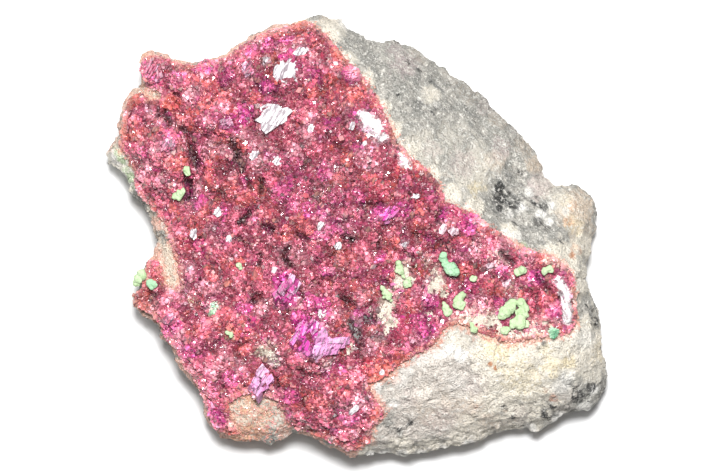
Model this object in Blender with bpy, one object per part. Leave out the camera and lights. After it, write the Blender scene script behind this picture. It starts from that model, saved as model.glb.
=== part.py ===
"""Kolwezite specimen: a slab of grey dolomite with a crust of pink cobaltoan calcite crystals,
on which pale green balls of kolwezite and one tuft of malachite grew.

The specimen lies on its broken back with the crystal face up. +X runs to its right, +Y to its
top, +Z away from the surface that it rests on. The origin is under the middle of its box.

Places on the face are read from a plan, drawn in steps of WIDTH / PLAN_STEPS, with u to the
right and v down. Heights and sizes are in millimetres until finish() scales a mesh to metres.
"""

import math
import random

import bmesh
import bpy
import numpy as np
from mathutils import Matrix, Vector, noise
from mathutils.bvhtree import BVHTree
from mathutils.geometry import delaunay_2d_cdt

# Driving dimensions, in millimetres
WIDTH = 90.0            # the specimen's longest side
PLAN_STEPS = 504        # plan steps across that side
PLAN_MIDDLE = (357.0, 236.75)
STEP = WIDTH / PLAN_STEPS
GAP = 0.3               # between one piece and the next
MM = 0.001

# The stone's broken sides, in millimetres
SHOULDER = (1.4, 3.4)   # how far in from the rim the face is reached, least and most
UNDERCUT = (3.6, 8.5)   # how far in from the rim the flat back begins, least and most
SHOULDER_BEND = 1.45    # 1 is a straight bevel, 2 is round
UNDERCUT_BEND = 1.2
STONE_GRAIN = 3.4       # spacing of the facets on the bare stone
HIDDEN_GRAIN = 4.6      # and where the crust covers it
BACK_GRAIN = 9.0
STONE_ROUGHNESS = 0.6

# The crust of small crystals, in millimetres
CRUST = 1.7             # usual thickness
CRUST_EDGE_THICKNESS = 0.7
CRUST_TAPER = 2.6       # how far in from its edge the crust is at full thickness
CRYSTAL_SPACING = 2.9
CRYSTAL_RISE = (0.45, 1.15)
CRYSTAL_LEAN = 0.5

OUTLINE = [
    (139, 61), (142, 54), (149, 51), (161, 53), (172, 58), (184, 62), (199, 63), (206, 59),
    (226, 54), (237, 45), (250, 37), (268, 28), (284, 24), (299, 21), (309, 17), (320, 15.5),
    (339, 19), (348, 27), (366, 39), (381, 41), (398, 41), (416, 48), (424, 55), (438, 62),
    (450, 75), (466, 83), (480, 93), (493, 107), (511, 125), (524, 136), (535, 151),
    (542, 166), (546, 179), (556, 186), (575, 186), (589, 191), (597, 202), (598, 215),
    (594, 237), (591, 254), (586, 262), (587, 279), (592, 296), (600, 313), (601, 331),
    (605, 351), (609, 378), (605, 391), (598, 402), (588, 411), (566, 412), (553, 422),
    (538, 431), (527, 429), (509, 430), (490, 436), (476, 443), (459, 447), (441, 450),
    (420, 454), (404, 456), (391, 453), (374, 453), (362, 457), (350, 458), (337, 451),
    (319, 441), (302, 435), (293, 432), (281, 441), (267, 444), (254, 441), (237, 442),
    (222, 437), (210, 427), (204, 414), (203, 402), (196, 388), (187, 377), (177, 362),
    (171, 348), (161, 337), (161, 327), (147, 316), (133, 307), (130, 297), (138, 288),
    (135, 278), (143, 270), (145, 262), (154, 255), (156, 241), (152, 218), (140, 202),
    (132, 195), (128, 180), (118, 169), (107, 161), (105, 153), (112, 142), (118, 134),
    (120, 116), (125, 97), (132, 89), (139, 87), (141, 79), (137, 69),
]

CRUST_EDGE = [
    (144, 61), (153, 56), (166, 60), (180, 66), (197, 68), (209, 64), (228, 59), (241, 49),
    (254, 41), (271, 33), (290, 29), (307, 23), (316, 31), (327, 38), (336, 50), (348, 65),
    (361, 76), (370, 91), (379, 107), (388, 124), (396, 143), (408, 158), (424, 170),
    (437, 184), (444, 203), (459, 209), (476, 216), (489, 228), (505, 238), (519, 249),
    (536, 253), (550, 257), (564, 265), (572, 277), (574, 300), (575, 322), (566, 332),
    (550, 333), (535, 337), (514, 341), (494, 336), (475, 329), (458, 321), (441, 326),
    (435, 341), (415, 352), (399, 362), (383, 376), (366, 382), (374, 398), (383, 413),
    (371, 426), (368, 441), (354, 450), (341, 445), (322, 436), (304, 429), (291, 425),
    (285, 411), (275, 397), (258, 390), (240, 392), (228, 402), (229, 418), (238, 433),
    (226, 433), (214, 424), (209, 412), (207, 400), (200, 386), (191, 374), (182, 360),
    (176, 346), (166, 335), (165, 325), (151, 312), (137, 304), (135, 296), (143, 289),
    (147, 273), (149, 262), (158, 261), (162, 272), (164, 284), (174, 292), (182, 284),
    (179, 264), (173, 246), (169, 226), (158, 212), (144, 198), (136, 188), (137, 172),
    (129, 157), (121, 146), (124, 132), (125, 117), (130, 100), (139, 94), (149, 101),
    (163, 102), (165, 93), (150, 87), (145, 78), (142, 69),
]

# Heights of the visible face over the back, as (u, v, millimetres)
SPOT_HEIGHTS = [
    (140, 62, 19), (170, 62, 21), (130, 97, 18.5), (116, 152, 15), (150, 98, 19), (165, 75, 21.5),
    (200, 68, 22.5), (205, 100, 23), (160, 125, 21), (160, 170, 21.5), (140, 190, 17.5), (250, 45, 23),
    (245, 100, 24.5), (300, 30, 25), (310, 80, 26.5), (280, 130, 26), (210, 205, 22.5), (240, 175, 24),
    (355, 80, 27.5), (330, 140, 27.5), (385, 130, 28.5), (350, 190, 27), (410, 165, 28.5), (442, 205, 28),
    (160, 245, 17.5), (180, 250, 20), (150, 275, 16.5), (136, 300, 16), (210, 260, 22), (270, 240, 24),
    (320, 240, 26), (385, 230, 27), (200, 310, 21), (260, 305, 24), (330, 300, 25.5), (390, 290, 26),
    (440, 260, 26), (450, 300, 24.5), (490, 235, 25.5), (500, 285, 23.5), (545, 260, 24.5),
    (545, 300, 22.8), (566, 300, 24.5), (575, 270, 22.5), (510, 335, 24), (470, 325, 25.5),
    (170, 335, 18), (200, 380, 18.5), (240, 360, 22), (300, 365, 24.5), (360, 350, 25.5), (210, 415, 16),
    (255, 415, 18.5), (265, 440, 15), (305, 415, 20.5), (350, 410, 22.5), (350, 448, 17), (300, 430, 18),
    (325, 20, 21), (345, 50, 25), (372, 85, 27), (400, 135, 27.5), (430, 165, 27), (400, 45, 16.5),
    (410, 80, 21), (450, 85, 15.5), (455, 130, 20), (500, 120, 14), (500, 160, 18.5), (460, 185, 25),
    (535, 160, 14), (500, 200, 21), (525, 205, 20.5), (550, 195, 16), (550, 235, 21.5),
    (480, 212, 25.5), (530, 245, 24.5), (575, 195, 12.5), (592, 215, 11), (575, 235, 16), (585, 262, 16),
    (598, 330, 13.5), (585, 300, 19), (580, 345, 21.5), (605, 378, 12.5), (580, 390, 17.5),
    (540, 370, 23), (490, 360, 25.2), (435, 350, 26.2), (400, 385, 24.6), (450, 400, 21), (510, 400, 20),
    (560, 408, 14.5), (530, 425, 14), (460, 440, 14), (400, 450, 14.5), (380, 430, 20), (385, 400, 23.5),
]

# Height of the widest line round the stone, as (u, v, share of the face's height above it)
RIM_SHARES = [
    (200, 60, 0.72), (255, 34, 0.6), (320, 16, 0.52), (375, 41, 0.6), (440, 65, 0.46), (485, 98, 0.55),
    (525, 138, 0.42), (550, 185, 0.6), (597, 205, 0.5), (586, 262, 0.68), (601, 335, 0.42), (606, 380, 0.6),
    (560, 414, 0.74), (510, 430, 0.5), (460, 446, 0.7), (400, 456, 0.6), (350, 457, 0.76), (295, 433, 0.6),
    (265, 443, 0.7), (205, 410, 0.58), (175, 352, 0.78), (145, 316, 0.7), (130, 297, 0.55), (155, 245, 0.8),
    (142, 205, 0.6), (122, 172, 0.72), (106, 155, 0.55), (120, 116, 0.74), (139, 75, 0.6),
]

# Swells and hollows of the bare stone, as (u, v, radius in steps, height in millimetres)
STONE_SWELLS = [
    (578, 215, 26, 1.2), (575, 248, 12, 0.5), (505, 200, 24, -1.5), (535, 232, 22, -1.2), (437, 107, 6, -0.7),
    (420, 95, 16, 0.5), (470, 150, 18, 0.5), (395, 65, 18, 0.5), (505, 165, 16, -0.5), (455, 345, 16, 0.5),
    (430, 372, 18, 0.5), (480, 375, 20, -0.4), (515, 355, 20, 0.6), (550, 365, 16, -0.5), (580, 392, 16, -0.6),
    (545, 410, 14, -0.6), (405, 405, 18, 0.5), (440, 425, 18, -0.4), (490, 405, 14, 0.6), (590, 350, 14, 0.5),
    (255, 415, 16, -0.5), (240, 430, 10, 0.4), (170, 262, 10, -0.5), (335, 32, 12, 0.5), (520, 388, 14, 0.5),
]

# Broken steps of the bare stone, as (drop in millimetres, fade in steps, line). The stone is
# lower on the left of the line.
STONE_STEPS = [
    (1.1, 26, [(478, 204), (500, 220), (524, 236), (556, 252)]),
    (0.8, 18, [(562, 208), (541, 199), (529, 187), (520, 176)]),
    (0.7, 14, [(561, 250), (558, 222), (561, 194)]),
    (0.6, 22, [(398, 72), (424, 90), (446, 112)]),
    (0.8, 30, [(438, 62), (462, 92), (480, 130), (512, 160), (530, 172)]),
    (1.1, 30, [(577, 268), (584, 300), (596, 332), (603, 362)]),
    (0.7, 26, [(486, 424), (444, 434), (404, 428), (378, 434)]),
    (0.6, 22, [(470, 352), (520, 352), (560, 372)]),
    (0.5, 18, [(330, 22), (350, 46), (372, 62)]),
]

# Rounded growths of the crust, as (u, v, radius in steps, height in millimetres)
KNOBS = [
    (165, 158, 27, 4.0), (220, 168, 25, 4.6), (146, 72, 14, 1.4), (183, 80, 16, 1.0), (150, 140, 20, 1.2),
    (250, 234, 12, 1.9), (196, 232, 17, 1.0), (238, 204, 16, 1.0), (270, 200, 24, 1.3), (262, 120, 24, 1.2),
    (293, 74, 18, 1.0), (247, 75, 16, 1.0), (213, 110, 17, 1.2), (300, 165, 22, 1.0), (340, 120, 24, 1.0),
    (330, 205, 22, 1.4), (292, 226, 15, 1.3), (385, 215, 24, 1.2), (420, 235, 18, 1.0), (345, 60, 14, 0.8),
    (460, 222, 16, 1.5), (455, 243, 13, 1.2), (287, 289, 14, 1.7), (314, 342, 20, 2.0), (345, 260, 18, 1.2),
    (375, 275, 15, 1.0), (420, 297, 17, 1.4), (422, 332, 18, 1.2), (245, 285, 15, 1.1), (180, 312, 17, 1.2),
    (146, 297, 11, 1.2), (150, 265, 8, 1.6), (167, 325, 12, 1.2), (208, 345, 18, 0.9), (262, 382, 14, 1.6),
    (225, 360, 14, 1.0), (320, 395, 22, 1.0), (355, 385, 16, 0.8), (300, 412, 14, 0.9), (345, 430, 14, 0.7),
    (218, 415, 10, 0.8), (487, 300, 12, 1.0), (478, 265, 12, 0.9), (530, 262, 10, 0.9), (545, 310, 13, 1.0),
    (405, 185, 18, 0.9), (365, 165, 16, 0.9), (325, 320, 12, 0.8), (265, 345, 16, 0.9), (195, 285, 12, 0.9),
]

# Dark gaps between the growths, as (width in steps, depth in millimetres, [(u, v), ...])
GAPS_IN_CRUST = [
    (5.6, 6.2, [(203, 160), (199, 173), (192, 185), (190, 196)]),
    (3.4, 2.6, [(144, 106), (157, 112), (166, 117), (172, 127), (184, 137), (194, 140), (200, 150)]),
    (4.0, 4.0, [(224, 139), (235, 148), (240, 159), (242, 171), (250, 184), (262, 193)]),
    (4.4, 2.8, [(246, 213), (245, 224)]),
    (3.2, 2.0, [(262, 224), (272, 231)]),
    (3.4, 2.3, [(293, 241), (286, 250), (285, 263)]),
    (3.2, 1.9, [(303, 231), (317, 238), (341, 238), (352, 232)]),
    (2.6, 1.4, [(176, 96), (180, 108), (187, 112)]),
    (2.8, 1.5, [(205, 120), (213, 133), (224, 136)]),
    (2.8, 1.3, [(252, 104), (257, 121), (262, 130)]),
    (3.0, 1.6, [(145, 290), (153, 293), (152, 303)]),
    (2.8, 1.4, [(243, 292), (255, 299)]),
    (3.4, 1.5, [(336, 290), (345, 305), (350, 325), (358, 334)]),
    (3.2, 1.3, [(440, 246), (444, 240)]),
    (2.6, 1.2, [(505, 250), (520, 285), (515, 300)]),
    (2.8, 1.2, [(276, 364), (283, 380), (289, 396)]),
]

# Single large crystals, as (u, v, half length, half width in steps, turn, tilt in degrees)
LARGE_CRYSTALS = [
    (287, 73, 13, 10, 10, 7), (271, 118, 15, 10, 25, -6), (301, 53, 8, 5, 20, 8), (219, 212, 6, 5, 60, 6),
    (195, 234, 6, 4, 80, -8), (230, 238, 4, 4, 30, 5), (277, 161, 7, 5, 20, 9), (255, 156, 6, 4, 55, -7),
    (311, 129, 6, 4, 50, 8), (321, 225, 6, 4, 70, -6), (338, 245, 5, 4, 45, 6), (352, 127, 5, 3, 60, 10),
    (307, 332, 13, 8, 60, 26), (325, 346, 15, 8, 15, -10), (287, 287, 14, 7, 70, 22), (262, 384, 11, 6, 45, 24),
    (247, 73, 8, 6, 40, 14), (386, 216, 12, 4, 35, 18), (452, 231, 6, 5, 20, 9), (443, 229, 7, 4, 75, -14),
    (355, 407, 8, 3, 50, 12), (169, 320, 7, 5, 30, 18), (152, 73, 9, 4, 70, 14), (163, 76, 8, 4, 110, -14),
    (168, 150, 8, 6, 20, 12), (225, 126, 8, 5, 20, 18), (505, 282, 5, 4, 65, 12), (415, 196, 5, 3, 15, 6),
]
LARGE_CRYSTAL_DEPTH = 9      # steps from the crystal's top face down to where it is rooted
WHITE_RIB = [(558, 281), (564, 292), (565, 305), (567, 320)]
WHITE_RIB_RADIUS = 0.75

# Kolwezite balls of each cluster, as (u, v, radius in steps)
KOLWEZITE = {
    "kolwezite_upper_pair": [(443, 255, 5.2), (446, 262, 5.6), (452, 269, 8.0)],
    "kolwezite_main_cluster": [
        (504, 313, 6.5), (510, 306, 6.5), (519, 304, 6.5), (523, 312, 6.0), (516, 319, 8.0),
        (522, 322, 5.5),
    ],
    "kolwezite_cluster_grain": [(503, 330, 4.8)],
    "kolwezite_middle_ball": [(459, 297, 6.2), (458, 303, 6.6)],
    "kolwezite_lower_ball": [(445, 306, 5.2), (448, 310, 5.4)],
    "kolwezite_right_ball": [(517, 271, 4.4), (521, 269, 4.8)],
    "kolwezite_far_right_ball": [(543, 270, 5.2), (548, 269, 4.6)],
    "kolwezite_inner_ball": [(407, 283, 4.8)],
    "kolwezite_inner_string": [(398, 264, 3.8), (400, 270, 4.4), (403, 275, 3.4)],
    "kolwezite_inner_patch": [(384, 290, 4.6), (388, 295, 4.8)],
    "kolwezite_small_ball": [(472, 278, 3.6)],
    "kolwezite_edge_ball": [(142, 275, 6.4), (139, 281, 5.6)],
    "kolwezite_edge_disc": [(152, 284, 5.6), (156, 283, 4.2)],
    "kolwezite_hollow_ball": [(188, 172, 4.6)],
    "kolwezite_hollow_patch": [(180, 194, 6.2)],
    "kolwezite_lone_grain": [(240, 265, 4.0)],
    "kolwezite_low_grain": [(231, 334, 4.2)],
    "kolwezite_lower_patch": [(473, 328, 4.4)],
}
BALL_SUNK = 0.35             # share of a ball's radius that is below the crust
BALL_FLATNESS = 0.8
BALL_FACES = 60
MALACHITE = (552, 331, 7.6)
SEATED = [ball for balls in KOLWEZITE.values() for ball in balls] + [MALACHITE]
SEAT_SIDES = 6


def plan(u, v):
    """A place on the plan, in millimetres from the middle."""
    return (u - PLAN_MIDDLE[0]) * STEP, (PLAN_MIDDLE[1] - v) * STEP


def drawn(points):
    """A closed line of the plan, turned so that it runs anticlockwise."""
    line = [plan(u, v) for u, v in points]
    area = sum(a[0] * b[1] - b[0] * a[1] for a, b in zip(line, line[1:] + line[:1]))
    return line if area > 0 else line[::-1]


def distance_to(line, places, closed=True):
    """How far each place is from a line of points."""
    starts = np.array(line)
    ends = np.roll(starts, -1, axis=0)
    if not closed:
        starts, ends = starts[:-1], ends[:-1]
    along = ends - starts
    to_place = np.asarray(places)[:, None, :] - starts[None]
    share = (to_place * along).sum(2) / (along**2).sum(1)
    nearest = starts + np.clip(share, 0, 1)[..., None] * along
    away = np.linalg.norm(np.asarray(places)[:, None, :] - nearest, axis=2).min(1)
    return np.where(away < 0.001, 0.0, away)


def inside(line, places):
    """Whether each place is inside a closed line."""
    x, y = np.asarray(places).T
    within = np.zeros(len(x), bool)
    for (ax, ay), (bx, by) in zip(line, line[1:] + line[:1]):
        crosses = (ay > y) != (by > y)
        slope = (bx - ax) / (by - ay) if by != ay else 0.0
        within ^= crosses & (x < ax + (y - ay) * slope)
    return within


def surface_through(spots):
    """A thin plate bent through the spot heights, as a function of places."""
    knots = np.array([plan(u, v) for u, v, _ in spots])
    levels = np.array([height for _, _, height in spots], float)

    def bending(distance):
        return distance**2 * np.log(np.maximum(distance, 1e-9))

    count = len(knots)
    flat = np.hstack([np.ones((count, 1)), knots])
    system = np.zeros((count + 3, count + 3))
    softness = 2.0
    system[:count, :count] = bending(np.linalg.norm(knots[:, None] - knots[None], axis=2))
    system[:count, :count] += softness * np.eye(count)
    system[:count, count:] = flat
    system[count:, :count] = flat.T
    weights = np.linalg.solve(system, np.concatenate([levels, np.zeros(3)]))

    def height(places):
        places = np.asarray(places)
        reach = bending(np.linalg.norm(places[:, None] - knots[None], axis=2))
        return reach @ weights[:count] + weights[count] + places @ weights[count + 1 :]

    return height


def wavering(places, size, seed, least, most):
    """A smooth value between least and most that wanders from place to place."""
    values = [noise.noise(Vector((x / size, y / size, seed))) for x, y in places]
    return least + (most - least) * np.clip(0.5 + 0.9 * np.array(values), 0, 1)


RIM = drawn(OUTLINE)
CRUST_RIM = drawn(CRUST_EDGE)
face_height = surface_through(SPOT_HEIGHTS)


def rim_height(places):
    """Height of the specimen's widest line over its back."""
    marks = np.array([plan(u, v) for u, v, _ in RIM_SHARES])
    away = np.linalg.norm(np.asarray(places)[:, None] - marks[None], axis=2)
    weight = 1 / (away**3 + 1.0)
    share = weight @ np.array([s for _, _, s in RIM_SHARES]) / weight.sum(1)
    return face_height(places) * share + wavering(places, 5.0, 3.1, -0.8, 0.8)


def bent(share, bend):
    """Rises from 0 to 1 with the share: straight for a bend of 1, and rounder above it."""
    return (1 - (1 - np.clip(share, 0, 1)) ** bend) ** (1 / bend)


def face(places):
    """Height of the visible face, rounded off towards the rim."""
    depth = distance_to(RIM, places)
    low = rim_height(places)
    reach = wavering(places, 8.0, 7.7, *SHOULDER)
    return low + (face_height(places) - low) * bent(depth / reach, SHOULDER_BEND)


def breakage(places):
    """How far the bare stone's swells and steps stand over or under the face."""
    places = np.asarray(places)
    total = np.zeros(len(places))
    for u, v, radius, height in STONE_SWELLS:
        away = np.linalg.norm(places - plan(u, v), axis=1) / (radius * STEP)
        total += height * np.clip(1 - away**2, 0, 1)
    for drop, fade, points in STONE_STEPS:
        line = np.array([plan(u, v) for u, v in points])
        along = np.diff(line, axis=0)
        to_place = places[:, None] - line[None, :-1]
        share = np.clip((to_place * along).sum(2) / (along**2).sum(1), 0, 1)
        offset = to_place - share[..., None] * along
        away = np.linalg.norm(offset, axis=2)
        nearest = away.argmin(1)
        picked = np.arange(len(places))
        side = along[nearest, 0] * offset[picked, nearest, 1] - along[nearest, 1] * offset[picked, nearest, 0]
        total -= np.where(side > 0, drop * np.exp(-away[picked, nearest] / (fade * STEP)), 0)
    return total


def growth(places):
    """How far the knobs and gaps of the crust stand over or under the face."""
    places = np.asarray(places)
    total = np.zeros(len(places))
    for u, v, radius, height in KNOBS:
        away = np.linalg.norm(places - plan(u, v), axis=1) / (radius * STEP)
        total = np.maximum(total, height * np.sqrt(np.clip(1 - away**2, 0, 1)))
    for width, depth, points in GAPS_IN_CRUST:
        line = [plan(u, v) for u, v in points]
        away = distance_to(line, places, closed=False) / (width * STEP)
        total -= depth * np.clip(1.25 - away, 0, 1)
    return total


def top_at(u, v):
    """Height of the crust's top at one place of the plan."""
    place = [plan(u, v)]
    return float((face(place) + GAP + CRUST_EDGE_THICKNESS + growth(place))[0])


def seat_middle(u, v, steps):
    """Middle of a ball that is partly sunk in the crust."""
    return Vector((*plan(u, v), top_at(u, v) + steps * STEP * (1 - 2 * BALL_SUNK) + 0.25))


def seat_level(places):
    """The height under which the crust clears every ball by the gap."""
    places = np.asarray(places)
    level = np.full(len(places), 1000.0)
    for u, v, steps in SEATED:
        radius = steps * STEP
        middle = seat_middle(u, v, steps)
        away = np.linalg.norm(places - middle.xy, axis=1)
        under = middle.z - BALL_FLATNESS * np.sqrt(np.clip(radius**2 - away**2, 0, None)) - GAP
        level = np.where(away < 0.9 * radius, np.minimum(level, under), level)
    return level


def seat_points():
    """Points of the crust's plan that shape the shallow cup under each ball."""
    points = []
    for u, v, steps in SEATED:
        x, y = plan(u, v)
        points.append((x, y))
        for share, offset in ((0.55, 0.0), (1.12, 0.5)):
            reach = share * steps * STEP
            for side in range(SEAT_SIDES):
                angle = math.tau * (side + offset) / SEAT_SIDES
                points.append((x + reach * math.cos(angle), y + reach * math.sin(angle)))
    return thinned(points, 0.42)


def crust_depth(places):
    """Thickness of the crust: thin at its edge, and thick where knobs stand on it."""
    inward = np.clip(distance_to(CRUST_RIM, places) / CRUST_TAPER, 0, 1)
    thick_left = [plan(190, 170), plan(205, 185)]
    away = distance_to(thick_left, places, closed=False)
    extra = 4.4 * np.clip(1.5 - away / 8.0, 0, 1)
    return CRUST_EDGE_THICKNESS + inward * (CRUST - CRUST_EDGE_THICKNESS + extra)


def stone_top(places):
    """Height of the stone: the face where it is bare, and under the crust where it is covered."""
    places = np.asarray(places)
    covered = inside(CRUST_RIM, places) & (distance_to(CRUST_RIM, places) > 0)
    rough = wavering(places, 2.6, 12.3, -STONE_ROUGHNESS, STONE_ROUGHNESS)
    bare = (rough + breakage(places)) * np.clip(distance_to(RIM, places) / 2.0, 0, 1)
    bare *= np.clip(distance_to(CRUST_RIM, places) / 1.5, 0, 1)
    under = crust_depth(places) - CRUST_EDGE_THICKNESS
    return face(places) + np.where(covered, -under, bare)


def rows_inside(line, insets, spacing):
    """Rows of points that follow a closed line, each row further in."""
    points = []
    for inset in insets:
        for (ax, ay), (bx, by) in zip(line, line[1:] + line[:1]):
            length = math.hypot(bx - ax, by - ay)
            normal = (-(by - ay) / length, (bx - ax) / length)
            count = max(1, round(length / spacing))
            for step in range(count):
                share = (step + 0.5) / count
                points.append((
                    ax + (bx - ax) * share + normal[0] * inset,
                    ay + (by - ay) * share + normal[1] * inset,
                ))
    points = np.array(points)
    wanted = np.repeat(insets, len(points) // len(insets))
    keep = inside(line, points) & (distance_to(line, points) > 0.85 * wanted)
    return [tuple(p) for p in points[keep]]


def scattered(line, spacing, least_inset, dice):
    """A jittered triangular grid of points inside a closed line."""
    low, high = np.min(line, axis=0), np.max(line, axis=0)
    points = []
    row, y = 0, low[1]
    while y < high[1]:
        x = low[0] + spacing * 0.5 * (row % 2)
        while x < high[0]:
            jitter = [dice.uniform(-0.28, 0.28) * spacing for _ in range(2)]
            points.append((x + jitter[0], y + jitter[1]))
            x += spacing
        y += spacing * math.sqrt(3) / 2
        row += 1
    points = np.array(points)
    keep = inside(line, points) & (distance_to(line, points) > least_inset)
    return [tuple(p) for p in points[keep]]


def thinned(points, spacing, taken=()):
    """The points that are no closer than the spacing to one before them."""
    kept = list(taken)
    for point in points:
        others = np.array(kept) if kept else np.empty((0, 2))
        if not len(others) or np.linalg.norm(others - point, axis=1).min() > spacing:
            kept.append(point)
    return kept[len(taken):]


def triangulated(loop, points, inner_loop=()):
    """Triangles inside a closed loop, through the given points. The loop's points come first."""
    places = [*loop, *inner_loop, *points]
    first = len(loop)
    edges = [(i, (i + 1) % first) for i in range(first)]
    edges += [(first + i, first + (i + 1) % len(inner_loop)) for i in range(len(inner_loop))]
    made = delaunay_2d_cdt([Vector(p) for p in places], edges, [list(range(first))], 1, 1e-5)
    return [tuple(p) for p in made[0]], [tuple(f) for f in made[2]]


def sheet(mesh, places, heights, triangles, upward=True):
    """Adds a sheet of triangles over the places, and returns its vertices and faces."""
    verts = [mesh.verts.new((x, y, z)) for (x, y), z in zip(places, heights)]
    order = (0, 1, 2) if upward else (0, 2, 1)
    faces = [mesh.faces.new([verts[t[i]] for i in order]) for t in triangles]
    return verts, faces


def material(name, colour, roughness):
    made = bpy.data.materials.new(name)
    made.use_nodes = True
    shader = made.node_tree.nodes["Principled BSDF"]
    shader.inputs["Base Color"].default_value = (*colour, 1)
    shader.inputs["Roughness"].default_value = roughness
    shader.inputs["Metallic"].default_value = 0.0
    return made


def finish(mesh, name, surface):
    """Scales a mesh from millimetres to metres and makes it a named object."""
    bmesh.ops.scale(mesh, vec=(MM, MM, MM), verts=mesh.verts)
    bmesh.ops.recalc_face_normals(mesh, faces=mesh.faces)
    data = bpy.data.meshes.new(name)
    mesh.to_mesh(data)
    mesh.free()
    data.materials.append(surface)
    made = bpy.data.objects.new(name, data)
    bpy.context.scene.collection.objects.link(made)
    return made


def applied(obj, remove=()):
    """Makes an object's modifiers part of its mesh, and removes the helpers that they used."""
    bpy.context.view_layer.update()
    evaluated = obj.evaluated_get(bpy.context.evaluated_depsgraph_get())
    data = bpy.data.meshes.new_from_object(evaluated)
    obj.modifiers.clear()
    obj.data = data
    for helper in remove:
        bpy.data.objects.remove(helper)


def joined(obj, helper):
    """Joins a helper to an object, and drops any part of the helper that didn't reach it."""
    join = obj.modifiers.new("Join", "BOOLEAN")
    join.operation = "UNION"
    join.object = helper
    join.use_self = True
    applied(obj, [helper])
    mesh = bmesh.new()
    mesh.from_mesh(obj.data)
    left, bodies = set(mesh.verts), []
    while left:
        body, reached = set(), {next(iter(left))}
        while reached:
            body |= reached
            reached = {e.other_vert(v) for v in reached for e in v.link_edges} - body
        bodies.append(body)
        left -= body
    loose = [v for body in sorted(bodies, key=len)[:-1] for v in body]
    bmesh.ops.delete(mesh, geom=loose, context="VERTS")
    mesh.to_mesh(obj.data)
    mesh.free()


def plan_of_stone():
    """The stone's plan: rows along the rim and the crust's edge, then an even scatter."""
    dice = random.Random(11)
    near_rim = thinned(rows_inside(RIM, (0.7, 2.2), 2.6), 0.75, taken=CRUST_RIM)
    across = scattered(RIM, STONE_GRAIN, 3.6, dice)
    covered = inside(CRUST_RIM, across)
    near_edge = distance_to(CRUST_RIM, across) < 0.8
    bare = [p for p, under, near in zip(across, covered, near_edge) if not under and not near]
    hidden = scattered(CRUST_RIM, HIDDEN_GRAIN, 2.0, dice)
    taken = [*CRUST_RIM, *near_rim]
    inner = [*near_rim, *thinned([*bare, *hidden], 1.5, taken=taken)]
    return triangulated(RIM, inner, inner_loop=CRUST_RIM)


def matrix_stone(places, triangles):
    """The dolomite: the face above the rim, and the broken side and flat back below it."""
    mesh = bmesh.new()
    sheet(mesh, places, stone_top(places), triangles)

    dice = random.Random(5)
    rows = thinned(rows_inside(RIM, (1.0, 3.0, 6.0), 3.6), 1.2)
    inner = [*rows, *thinned(scattered(RIM, BACK_GRAIN, 8.8, dice), 3.0, taken=rows)]
    below, faces_below = triangulated(RIM, inner)
    depth = distance_to(RIM, below)
    reach = wavering(below, 9.0, 21.4, *UNDERCUT)
    low = rim_height(below) * (1 - bent(depth / reach, UNDERCUT_BEND))
    chips = wavering(below, 3.5, 30.2, -0.9, 0.9) * (low > 1.0) * (depth > 0.2)
    sheet(mesh, below, np.maximum(low + chips, 0), faces_below, upward=False)
    bmesh.ops.remove_doubles(mesh, verts=mesh.verts, dist=0.01)
    stone = material("dolomite", (0.60, 0.57, 0.50), 0.8)
    return finish(mesh, "matrix_stone", stone)


def bears_crystal(face):
    """Whether a triangle of the crust is free: not under a ball, nor under a large crystal."""
    middle = face.calc_center_median().xy
    for u, v, steps in SEATED:
        if (middle - Vector(plan(u, v))).length < 1.12 * steps * STEP:
            return False
    for u, v, length, width, *_ in LARGE_CRYSTALS:
        if (middle - Vector(plan(u, v))).length < 0.8 * min(length, width) * STEP:
            return False
    return True


def crystal_apexes(mesh, faces):
    """Raises each triangle to a crystal tip of three faces, leaning a little."""
    dice = random.Random(23)
    made = bmesh.ops.poke(mesh, faces=faces, offset=0.0, center_mode="MEAN")
    for tip in made["verts"]:
        size = math.sqrt(sum(f.calc_area() for f in tip.link_faces) / 2.4)
        lean = Vector((dice.uniform(-1, 1), dice.uniform(-1, 1), 0)) * CRYSTAL_LEAN * size * 0.5
        rise = dice.uniform(*CRYSTAL_RISE) * min(size, 1.2)
        tip.co += lean + Vector((0, 0, rise))


def raise_over(places, heights, triangles, points):
    """Raises the triangles of a sheet wherever they come too near the points below."""
    for _ in range(5):
        corners = [Vector((x, y, z)) for (x, y), z in zip(places, heights)]
        tree = BVHTree.FromPolygons(corners, triangles)
        for point in points:
            struck, _, index, _ = tree.ray_cast(Vector((point.x, point.y, 100)), Vector((0, 0, -1)))
            if struck is not None and struck.z < point.z + 0.5:
                for corner in triangles[index]:
                    heights[corner] += 0.7 * (point.z + 0.5 - struck.z)


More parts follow.
